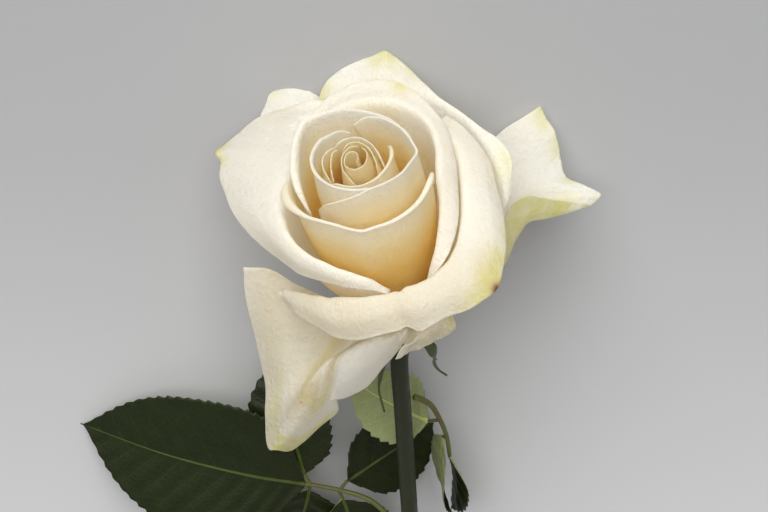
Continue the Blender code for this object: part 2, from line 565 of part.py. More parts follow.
def sheet_object(name, points, thickness, material, collection):
    """A thin closed shell over a grid of world points, made from a flat grid and Solidify."""
    across, along = points.shape[0] - 1, points.shape[1] - 1
    sheet = bmesh.new()
    bmesh.ops.create_grid(sheet, x_segments=across, y_segments=along, size=1)
    for vertex in sheet.verts:
        i = round((vertex.co.x + 1) / 2 * across)
        j = round((vertex.co.y + 1) / 2 * along)
        vertex.co = points[i, j] * MM
    mesh = bpy.data.meshes.new(name)
    sheet.to_mesh(mesh)
    sheet.free()
    mesh.shade_smooth()
    mesh.materials.append(material)
    thing = bpy.data.objects.new(name, mesh)
    collection.objects.link(thing)
    shell = thing.modifiers.new("thickness", "SOLIDIFY")
    shell.thickness = thickness * MM
    shell.offset = 0
    return thing


def unit(vector):
    return vector / np.linalg.norm(vector)


def blade_points(middle, half_widths, facing, fold, grid):
    """World points of a blade along its middle line, folded along it so that its sides rise or fall."""
    places = np.linspace(0, 1, grid[1] + 1)
    line = smooth_line(middle, places) + RECEPTACLE
    points = np.empty((grid[0] + 1, grid[1] + 1, 3))
    for j, centre in enumerate(line):
        before, after = line[max(j - 1, 0)], line[min(j + 1, grid[1])]
        side = unit(np.cross(unit(after - before), np.array(facing, float)))
        up = unit(np.cross(side, after - before))
        for i, u in enumerate(np.linspace(-1, 1, grid[0] + 1)):
            points[i, j] = centre + side * u * half_widths[j] + up * fold * abs(u) * half_widths[j]
    return points


def leaflet_half_widths(width, count):
    """Half widths of a leaflet from its foot to its point: broad below the middle, then tapering."""
    places = np.linspace(0, 1, count + 1)
    shape = places**0.6 * (1 - places) ** 0.7 * (1 - 0.55 * places**8)
    return np.maximum(LEAST_HALF_WIDTH, shape / shape.max() * width / 2)


def sepal_half_widths(width, count):
    """Half widths of a sepal, which narrows into a long tail."""
    places = np.linspace(0, 1, count + 1)
    return np.maximum(LEAST_HALF_WIDTH, width * (1 - places) ** SEPAL_TAPER)


def tube_object(name, points, radii, sides, material, collection):
    """A tube with filled caps along world points, made a mesh so that it can be joined."""
    curve = bpy.data.curves.new(name, "CURVE")
    curve.dimensions = "3D"
    curve.bevel_depth = MM
    curve.bevel_resolution = sides // 4
    curve.use_fill_caps = True
    spline = curve.splines.new("POLY")
    spline.points.add(len(points) - 1)
    for place, point, radius in zip(spline.points, points, radii):
        place.co = (*(np.asarray(point) * MM), 1)
        place.radius = radius
    guide = bpy.data.objects.new(name + "_curve", curve)
    collection.objects.link(guide)
    graph = bpy.context.evaluated_depsgraph_get()
    mesh = bpy.data.meshes.new_from_object(guide.evaluated_get(graph))
    bpy.data.objects.remove(guide, do_unlink=True)
    welded = bmesh.new()
    welded.from_mesh(mesh)
    bmesh.ops.remove_doubles(welded, verts=welded.verts, dist=1e-6)
    bmesh.ops.recalc_face_normals(welded, faces=welded.faces)
    welded.to_mesh(mesh)
    welded.free()
    mesh.name = name
    mesh.shade_smooth()
    mesh.materials.clear()
    mesh.materials.append(material)
    thing = bpy.data.objects.new(name, mesh)
    collection.objects.link(thing)
    return thing


def join_shapes(body, others, helpers):
    """Boolean unions of body with each of the others, which then only help."""
    for other in others:
        for home in list(other.users_collection):
            home.objects.unlink(other)
        helpers.objects.link(other)
        other.hide_render = True
        other.display_type = "WIRE"
        union = body.modifiers.new("join " + other.name, "BOOLEAN")
        union.operation = "UNION"
        union.solver = "EXACT"
        union.object = other


def stem_line():
    """The stem's middle line and radii, from the receptacle's top down to the cut end."""
    down = -bloom_frame()[:, 2]
    end_height = STEM_RADIUS - RECEPTACLE[2]
    run = math.sqrt(STEM_LENGTH**2 - end_height**2)
    straight = np.array([STEM_LEAN * run, -run, end_height])
    points, radii = [], []
    for distance, radius in HIP_PROFILE:
        points.append(down * distance + np.array([0, 0, HIP_BOW * distance**2]))
        radii.append(radius)
    for part in np.linspace(STEM_START, 1, 12):
        points.append(straight * part)
        radii.append(STEM_RADIUS + (NECK_RADIUS - STEM_RADIUS) * (1 - part))
    return [point + RECEPTACLE for point in points], radii


def make_stem(material, collection):
    points, radii = stem_line()
    tube_object("stem", points, radii, STEM_SIDES, material, collection)


def make_petals(material, collection):
    for name, net in petal_nets().items():
        sheet_object(name, from_bloom(net), PETAL_THICKNESS, material, collection)


def make_sepals(material, collection):
    for name, (azimuth, rest, width) in SEPALS.items():
        foot = from_bloom(np.array([azimuth, SEPAL_FOOT_RADIUS, -SEPAL_FOOT_DEPTH])) - RECEPTACLE
        middle = [foot, *rest]
        facing = np.array([-middle[1][0], 0, -middle[1][2]], float)
        half_widths = sepal_half_widths(width, SEPAL_GRID[1])
        points = blade_points(middle, half_widths, unit(facing), SEPAL_FOLD, SEPAL_GRID)
        sheet_object(name, points, LEAF_THICKNESS, material, collection)


def make_leaf(name, leaf, stalk_material, leaf_material, collection, helpers):
    line = smooth_line(leaf["stalk"], np.linspace(0, 1, 15)) + RECEPTACLE
    radii = np.linspace(STALK_RADIUS_AT_STEM, STALK_RADIUS_AT_END, len(line))
    stalk = tube_object(name + "_stalk", line, radii, STALK_SIDES, stalk_material, collection)
    sides = []
    for i, (start, end) in enumerate(leaf["side_stalks"], 1):
        points = [np.array(start) + RECEPTACLE, np.array(end) + RECEPTACLE]
        radii = [SIDE_STALK_RADIUS, SIDE_STALK_RADIUS]
        side_name = f"{name}_side_stalk_{i}"
        sides.append(tube_object(side_name, points, radii, STALK_SIDES, stalk_material, collection))
    join_shapes(stalk, sides, helpers)
    stalk_ends = [leaf["stalk"][-1]] + [end for _, end in leaf["side_stalks"]]
    for i, (rest, width, facing, fold) in enumerate(leaf["leaflets"], 1):
        end = np.array(stalk_ends[i - 1])
        middle = [end + unit(np.array(rest[0]) - end) * STALK_GAP, *rest]
        half_widths = leaflet_half_widths(width, LEAFLET_GRID[1])
        points = blade_points(middle, half_widths, facing, fold, LEAFLET_GRID)
        sheet_object(f"{name}_leaflet_{i}", points, LEAF_THICKNESS, leaf_material, collection)


def main():
    clear_scene()
    rose = bpy.data.collections.new("cut_rose")
    helpers = bpy.data.collections.new("helpers")
    for collection in (rose, helpers):
        bpy.context.scene.collection.children.link(collection)
    petal = make_material("petal", (0.93, 0.86, 0.70), 0.55)
    stem = make_material("stem", (0.06, 0.09, 0.03), 0.5)
    sepal = make_material("sepal", (0.10, 0.14, 0.05), 0.6)
    leaf = make_material("leaf", (0.02, 0.05, 0.02), 0.45)
    stalk = make_material("leaf_stalk", (0.20, 0.18, 0.06), 0.5)
    make_stem(stem, rose)
    make_petals(petal, rose)
    make_sepals(sepal, rose)
    for name, parts in LEAVES.items():
        make_leaf(name, parts, stalk, leaf, rose, helpers)


main()
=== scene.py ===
"""The looks of a cut rose lying on a pale floor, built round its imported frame.

Lengths are in millimetres and angles in degrees until a mesh is made, which is in metres.
A petal is drawn in the bloom's own frame: azimuth round its axis, radius from it, height along it.
Azimuth 0 points to +X, 90 down to the floor, 180 to -X and 270 up.
The stem and the leaves are drawn from the middle of the receptacle's top, along the world's axes.
"""

import math

import bpy
import numpy as np
from mathutils import Matrix, Vector


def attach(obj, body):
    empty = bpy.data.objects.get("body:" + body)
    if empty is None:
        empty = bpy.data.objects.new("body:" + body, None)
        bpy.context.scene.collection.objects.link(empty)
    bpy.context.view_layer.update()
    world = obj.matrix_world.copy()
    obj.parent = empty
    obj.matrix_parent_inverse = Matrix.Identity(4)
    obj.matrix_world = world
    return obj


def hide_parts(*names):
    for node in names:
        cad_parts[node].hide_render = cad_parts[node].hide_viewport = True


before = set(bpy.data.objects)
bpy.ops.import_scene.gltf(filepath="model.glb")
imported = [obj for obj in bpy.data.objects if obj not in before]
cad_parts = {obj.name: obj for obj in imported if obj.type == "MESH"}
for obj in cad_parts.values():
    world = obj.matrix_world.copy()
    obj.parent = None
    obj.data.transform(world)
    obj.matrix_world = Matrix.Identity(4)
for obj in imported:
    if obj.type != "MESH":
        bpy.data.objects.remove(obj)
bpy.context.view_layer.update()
MM = 0.001

# Where the bloom sits: the middle of its receptacle's top, and the direction of its axis.
RECEPTACLE = np.array([21.3, 86.1, 37.0])
BLOOM_PITCH, BLOOM_YAW = 13.8, 11.5

# Petals: how thick they are, and where their feet stand on the receptacle.
PETAL_THICKNESS, PETAL_EDGE, PETAL_GAP = 0.34, 0.14, 0.26
PETAL_FOOT_HEIGHT, PETAL_FOOT_RADIUS, HANGING_FOOT_RADIUS = 0.75, 1.3, 8
# A petal's wall: the shares of its height at which it is drawn, how wide its foot is and how it widens,
# how full it swells and how much of that is used. Its foot rises upright.
BUD_WALL = ((0, 0.07, 0.18, 0.35, 0.6, 0.8, 0.92), 0.55, 0.7, 2.4, 1)
OPEN_WALL = ((0, 0.07, 0.18, 0.35, 0.6, 0.84), 0.45, 0.6, 2.1, 0.97)
UPRIGHT_FOOT, UPRIGHT_RISE = 0.2, 0.6
# How a rim rolls outward, as (radius, height) from the rim's point in shares of its roll.
ROLLED_RIM = ((-0.85, -0.7), (-0.55, 0.1), (-0.15, 0.1), (0.08, -0.3))
# How a lip turns down beyond its crest: its bulge, the same shares of its curl, and how much it curls at
# the petal's two ends, from where the curl grows over so many stations.
LIP_BULGE = 0.16
CURLED_EDGE = ((-0.35, 0.1), (0, -0.7))
CURL_AT_END, CURL_RUN = 0.2, 2
# A petal's net and finer mesh, how its rows bunch towards the rim, how widely a push on it is eased,
# and how ragged and rippled it is.
BUD_GRAIN = {
    "net": (44, 32), "mesh": (88, 64), "bunching": 1.9, "easing": 2, "ragged": 0.0015, "ripple": 0.14,
}
OUTER_GRAIN = {
    "net": (66, 44), "mesh": (132, 88), "bunching": 1.15, "easing": 3, "ragged": 0.006, "ripple": 0.55,
}
LENGTH_SAMPLES, REACH_SAMPLES = 321, 260
# A petal's random fields: shift of the seed, cells across and along the petal, and share.
RAGGED_FIELD = (100, (46, 1))
RIPPLE_FIELDS = ((0, (9, 3), 0.7), (50, (22, 7), 0.3))
RIPPLE_START = 0.35
EDGE_STEEPNESS = 14
# Over what length below its rim or crest a petal turns warm in colour, and where that starts: partly the
# petal's own amber base, partly painted warm light bounced between petals in the bloom's gaps.
BUD_WARMING, OPEN_WARMING, HANGING_WARMING = 26, 42, 120
OPEN_COOL, HANGING_COOL, OPEN_WARMTH_POWER = 5, 20, 0.9
FIBRES_PER_TURN, FIBRE_LENGTH = 6, 10

# Stem and receptacle
STEM_LENGTH, STEM_LEAN, STEM_START = 240, 0.054, 0.085
STEM_RADIUS, NECK_RADIUS, HIP_RADIUS, RECEPTACLE_RADIUS = 2.45, 2.75, 4.3, 9.2
HIP_BOW = 0.004
STEM_STATIONS, STEM_RINGS, STEM_SIDES = 12, 260, 40
TUBE_CROSSING = (0, 0.13, 1)
HIP_PROFILE = [
    (0, RECEPTACLE_RADIUS), (1, RECEPTACLE_RADIUS), (2.4, 6.4), (4, HIP_RADIUS), (7.5, HIP_RADIUS),
    (10.5, 3.5), (13, 2.9),
]

# Leaves and sepals
LEAF_THICKNESS, LEAF_EDGE, LEAF_EDGE_STEEPNESS = 0.32, 0.12, 8
STALK_RADIUS_AT_STEM, STALK_RADIUS_AT_END, SIDE_STALK_RADIUS = 1, 0.64, 0.55
STALK_RINGS, STALK_SIDES = 90, 16
SIDE_STALK_RINGS, SIDE_STALK_SIDES = 16, 12
STALK_GAP = 0.1
LEAF_ALONG, LEAF_ACROSS = 110, 36
LEAST_HALF_WIDTH = 0.3
# A leaflet's outline rises as one power of the place along it and falls as another, with its tip drawn out.
FOOT_POWER, TIP_POWER, TIP_DRAW, TIP_DRAW_POWER = 0.6, 0.65, 0.8, 9
FOOT_SHARE, FOOT_SPREAD = 0.55, 2.5
TOOTH_LENGTH, TOOTH_DEPTH, TOOTH_PEAK, TOOTH_INSET, TOOTH_SPREAD = 2.9, 0.95, 0.8, 0.6, 3
VEIN_SLANT, VEIN_SPACING, VEIN_OFFSET = 0.62, 7, 0.45
QUILT_HEIGHT, QUILT_START, QUILT_END = 0.22, 4, 5
LEAF_WAVE, LEAF_WAVE_RUN, LEAF_WAVE_SHIFT = 0.35, 5.3, 1.9
MID_VEIN_HEIGHT, MID_VEIN_REACH, MID_VEIN_TAPER = 0.35, 0.5, 0.7
SEPAL_FOOT_RADIUS, SEPAL_FOOT_DEPTH = 4.95, 5
SEPAL_FOLD, SEPAL_TAPER = 0.12, 1.4
SEPAL_EDGE, SEPAL_KEEL = 0.3, 0.5
SEPAL_ALONG, SEPAL_ACROSS = 60, 12
SEPAL_STREAKS = 0.2

# Yellow-green, dark red and tan spots on a petal, as (azimuth, how far below its edge, reach, strength); the
# tan is partly painted shade.
TINTS = {
    "green": {
        "petal_12": [(69, 1, 3, 0.5)],
        "petal_13": [(144, 0.5, 3.5, 0.7), (120, 0, 2.5, 0.3)],
        "petal_14": [
            (321, 2, 4.5, 0.9), (314, 1.5, 3.5, 0.7), (330, 1.5, 4, 0.6), (342, 0.5, 3, 0.35),
            (307, 0.5, 2.5, 0.35),
        ],
        "petal_15": [(79, 0.8, 4, 0.7), (70, 0.5, 3, 0.35), (103, 1.5, 3.5, 0.45), (11, 2, 5, 0.25)],
        "petal_16": [(117, 0.5, 2.5, 0.3)],
        "petal_17": [
            (206, 2, 3.2, 0.8), (210, 2, 4, 0.85), (215, 2, 4, 0.6), (207, 8, 3, 0.5), (213, 33, 1.2, 0.5),
            (218, 29, 1.4, 0.5), (224, 25, 1.4, 0.45),
        ],
        "petal_18": [(316, 1, 3, 0.5)],
        "petal_19": [
            (16.5, 0.5, 3, 0.4), (25, 0.5, 2.5, 0.35), (33, 0.5, 2.5, 0.35), (39, 0.5, 3.5, 0.45),
            (14, 12, 6, 0.75), (12, 20, 6, 0.7), (9, 27, 6, 0.7), (7, 34, 6, 0.7),
        ],
    },
    "red": {
        "petal_14": [(320.5, 0.3, 1.3, 1)],
        "petal_13": [(144, 0.2, 0.7, 0.5)],
    },
    # Tan: partly the outer petals' own browning, partly painted shade on petal_14's lower front and corner
    # and in petal_17's hollow.
    "aged_and_shade": {
        "petal_17": [
            (193, 8, 11, 0.4), (197, 20, 12, 0.45), (204, 12, 9, 0.25), (208, 26, 11, 0.5), (211, 34, 9, 0.7),
            (217, 31, 9, 0.75), (224, 28, 7, 0.7), (232, 32, 7, 0.7),
        ],
        "petal_18": [(300, 4, 12, 0.35)],
        "petal_14": [
            (210, 8, 13, 0.25), (232, 9, 14, 0.3), (256, 9, 14, 0.3), (280, 9, 14, 0.3), (304, 9, 13, 0.25),
            (322, 5, 6, 0.5),
        ],
    },
}

# Each petal that stands round the bud: how far its wall bulges out below its rim (less within
# BULGING_RADIUS of the axis), how warm its colour already is at the rim, how far the rim rolls outward
# (station by station where that varies), and the rim, as (azimuth, radius, height) from side to side.
# All petals are laid in the order of these three tables, from the heart outward.
BULGING_RADIUS = 4.5
BUD_PETALS = {
    "petal_01_heart": (3, 0.45, 0.04, [
        (-20, 0.6, 60.6), (40, 1.7, 61.8), (94, 2.2, 62.4), (150, 2.3, 62.2), (200, 2.8, 60.8),
        (250, 2.3, 59.8), (300, 2.3, 59.6), (350, 3.3, 60.2), (390, 4.4, 61.4), (416, 4.5, 61.8),
    ]),
    "petal_02": (2.4, 0.42, 0.06, [
        (75, 5.5, 61.2), (95, 4.7, 62), (121, 3.8, 62.2), (155, 3.4, 62), (184, 3.5, 61.2), (205, 3.8, 60),
        (227, 4, 58.8), (246, 4.4, 57.6), (264, 5, 56.2),
    ]),
    "petal_03": (2.2, 0.4, 0.07, [
        (-23, 6.4, 56.4), (-8, 6.1, 59.6), (5, 5.6, 60.8), (28, 5.5, 61.8), (57, 5.6, 62.2), (85, 6.1, 62.2),
        (104, 6.5, 61.6), (121, 6.5, 59.6),
    ]),
    "petal_05": (2, 0.4, 0.07, [
        (130, 6.5, 61.4), (148, 6.4, 62.4), (164, 6.4, 62), (183, 6.6, 61), (197, 7, 59.6), (208, 7.4, 57.4),
    ]),
    "petal_06": (1.4, 0.3, 0.1, [
        (132, 7.5, 61.8), (148, 7.6, 62.8), (164, 8.2, 63), (175, 8.6, 62.6), (186, 8.8, 61.8),
        (199, 8.6, 60.4), (213, 8.4, 58.4),
    ]),
    "petal_04": (1.8, 0.22, 0.12, [
        (-10, 8.2, 57), (8, 7.2, 60.8), (26, 6.8, 62), (51, 6.7, 62.8), (77, 7.2, 63), (98, 7.6, 62.8),
        (117, 8, 62.2), (130, 8.5, 60.6),
    ]),
    "petal_07": (1, 0.25, (0.2, 0.25, 0.3, 0.35, 0.4, 0.5, 0.7, 0.9, 1, 0.7, 0.3), [
        (222, 9.4, 59.6), (240, 9.8, 61.2), (260, 10.4, 61.3), (277, 10.4, 61), (295, 10.5, 61),
        (312, 10.7, 61.3), (329, 10.8, 61.7), (345, 11.1, 62), (0, 11.2, 62), (15, 11.1, 61.2),
        (29, 10.9, 59.4),
    ]),
    "petal_08": (1.2, 0.1, (0.3, 0.4, 0.5, 0.6, 0.7, 0.8, 0.8, 0.7, 0.6, 0.5, 0.5, 0.5, 0.4, 0.3), [
        (92, 11, 61.6), (107, 10.5, 64), (126, 10, 65), (143, 10.5, 65.4), (160, 10.9, 65.4), (176, 11.5, 65),
        (190, 11.8, 64.5), (206, 11.9, 63.9), (222, 12, 63.3), (238, 12.3, 63), (254, 12.5, 62.6),
        (270, 12.8, 62), (286, 13, 61.4), (300, 13.2, 59.6),
    ]),
    "petal_09": (0.8, 0.1, (0.3, 0.35, 0.35, 0.4, 0.4, 0.45, 0.5, 0.5, 0.5, 0.5, 0.4, 0.4, 0.4, 0.4, 0.4,
        0.4, 0.4, 0.3), [
        (208, 14.3, 51), (221, 13.6, 54.5), (237, 13.5, 57.2), (254, 13.5, 59.2), (272, 13.9, 61),
        (285, 14.3, 62.3), (298, 15, 62.6), (311, 15.8, 62.6), (325, 16.5, 62.4), (340, 16.8, 62),
        (354, 18, 61.9), (4, 17.2, 62.4), (16, 16.4, 63.4), (28, 15.7, 64), (41, 15.1, 64.4),
        (56, 14.8, 64.5), (73, 14.7, 63.6), (89, 15, 60.6),
    ]),
    "petal_10": (0.6, 0, (0.3, 0.4, 0.5, 0.5, 0.5, 0.6, 0.7, 0.9, 1.3, 1.7, 2, 2.3, 2.5, 2.5, 2.2, 1.6, 0.6),
        [
        (21, 18.3, 53), (27, 17.9, 59.4), (38, 17.4, 61.2), (50, 17.2, 62.2), (64, 17.3, 62.8),
        (80, 17.9, 63.4), (96, 19, 64), (110, 20, 64.2), (123, 21.2, 64.2), (130, 21.6, 63.9),
        (139, 20.7, 63.3), (150, 19.5, 62.8), (162, 18.6, 62), (174, 18.1, 61.1), (186, 17.8, 59.6),
        (197, 17.6, 57.2), (206, 16.6, 51),
    ]),
    "petal_11": (0, 0.15, (0.8, 2, 3.2, 3.6, 2.8, 1.9, 1.3, 1, 0.9, 0.9, 0.9, 1, 1.1, 1.2, 1.4, 1.6, 1.5, 1,
        0.5), [
        (157, 20.4, 48), (169, 21.3, 53.4), (180, 22, 54.7), (191, 22.1, 55.5), (203, 21.6, 56.3),
        (215, 21.2, 57), (227, 21.1, 57.4), (239, 21, 57.8), (251, 21.2, 57.4), (262, 21.9, 56.4),
        (271, 22.6, 55.8), (280, 22.8, 56.2), (292, 23.3, 56.4), (304, 23.6, 56.8), (316, 23.5, 57.1),
        (327, 23.1, 57.6), (338, 22.7, 57.8), (347, 21.6, 55.6), (353, 20.4, 49),
    ]),
}

# Each petal that has opened: how far its edge curls down, and its stations, as (azimuth, crest radius and
# height, edge radius and height).
OPEN_PETALS = {
    "petal_12": (0.5, [
        (-60, 24.6, 29, 25.4, 29.6), (-48, 24.6, 35.8, 28, 36), (-36, 23.8, 41.4, 28, 39.2),
        (-22, 22.8, 46.8, 27.6, 43.4), (-8, 21.6, 50.2, 27, 46.6), (6, 21.8, 51.6, 27.4, 48.2),
        (21, 23.6, 52.4, 28.6, 49.8), (34, 25.8, 52.8, 31, 50.6), (47, 28.2, 53, 33.4, 52.2),
        (60, 30, 53.2, 36.8, 53.4), (73, 31, 53.4, 39.6, 54.4), (86, 31.2, 53.4, 40.3, 54.4),
        (98, 30.8, 53, 38.8, 53.5), (107, 29.6, 51.6, 36.6, 52.2), (114, 28, 49, 33.8, 50.4),
        (120, 26.4, 45, 29.6, 46),
    ]),
    "petal_13": (0.7, [
        (97, 32.4, 46.4, 38.6, 48.6), (106, 31.6, 49, 40.4, 50.8), (113, 31, 50, 42.6, 50.2),
        (120, 29.4, 51, 46.8, 48.2), (127, 26.4, 52, 51, 46.4), (134, 24.4, 52.4, 51.6, 45.6),
        (140, 23.4, 52.6, 52.6, 45), (144, 23, 52.6, 53.2, 44.8), (147, 22.8, 52.4, 49.2, 45.2),
        (153, 22.6, 52.2, 47.2, 44), (160, 22.6, 51.8, 43.6, 42.8), (168, 22.8, 51, 40.2, 41.6),
        (178, 23.2, 50, 35.6, 40.2), (190, 23.6, 48.6, 31, 39), (204, 24, 47.4, 28, 38.4),
        (220, 24.2, 46.4, 27, 38.6), (238, 24.4, 45.4, 26.6, 39.4), (254, 24.8, 43, 27, 39),
        (268, 25.2, 40, 27.4, 37.6), (278, 25, 34, 27.2, 34),
    ]),
    "petal_14": (0.9, [
        (199, 30.9, 25.4, 31.6, 24.4), (203, 29.5, 26.8, 30.8, 23.1), (210, 27.8, 28, 30.6, 23.7),
        (220, 27, 30.1, 31.2, 25.2), (233, 27, 32.7, 32, 25.6), (246, 27.2, 34.4, 33.5, 24.7),
        (257, 27.6, 35.6, 34, 25.2), (268, 27.8, 36.2, 34.4, 27.2), (277, 28, 36.2, 34.8, 27.8),
        (281, 28.2, 36.3, 34, 27.6), (286, 28.4, 36.3, 35.4, 25.6), (289, 28.6, 36.3, 36, 26.2),
        (298, 29, 36.1, 36.6, 27.3), (307, 29.2, 36.8, 38.6, 27.1), (314, 29, 36.8, 40.6, 28.4),
        (321, 28.6, 37, 42.4, 29.6), (331, 28.4, 38.8, 40.8, 31.6), (342, 28, 41.2, 39, 33.6),
        (354, 27.6, 43.6, 37.6, 36.2), (366, 27.8, 45.4, 36.8, 38.6), (378, 28.8, 46.8, 37.2, 41.6),
        (390, 30, 47.6, 37, 44.6), (400, 31.4, 47.6, 37.2, 46.4), (409, 33.6, 46, 38, 46.4),
    ]),
    "petal_15": (0.7, [
        (-2, 36.4, 35, 38.8, 39), (5, 36.8, 38, 40.8, 41), (11, 37.2, 40.4, 42.7, 42.6),
        (17, 37.4, 42.4, 42.8, 44.2), (23, 37.6, 44, 41.4, 45.6), (31, 38, 45.4, 40, 46.8),
        (42, 38.4, 46.8, 39.8, 48), (54, 38.8, 48, 40.8, 49.2), (63, 39.8, 49, 44, 50.2),
        (70, 40.8, 49.8, 48.2, 51.2), (76, 41.6, 50.6, 50.8, 54.2), (79, 42, 50.8, 51.4, 55.6),
        (83, 42.2, 50.8, 50.4, 55.2), (88, 42.2, 50.4, 49, 54.9), (94, 42, 49.4, 47.8, 53.8),
        (100, 41.4, 47.4, 46.8, 51.8), (105, 40.4, 44, 45, 47.6), (109, 39.4, 40.6, 42.2, 43),
    ]),
    "petal_16": (0.6, [
        (99, 42.6, 38, 45.4, 41), (103, 43.8, 42, 47.6, 45), (107, 44.8, 44.6, 49.8, 48.2),
        (112, 46, 46.2, 52.7, 49.4), (117, 46.6, 46.2, 54.8, 49.4), (121, 46, 44.4, 54.4, 46.5),
        (125, 44.6, 42, 52.4, 44.4), (131, 42.4, 38.6, 47.6, 40.8),
    ]),
}

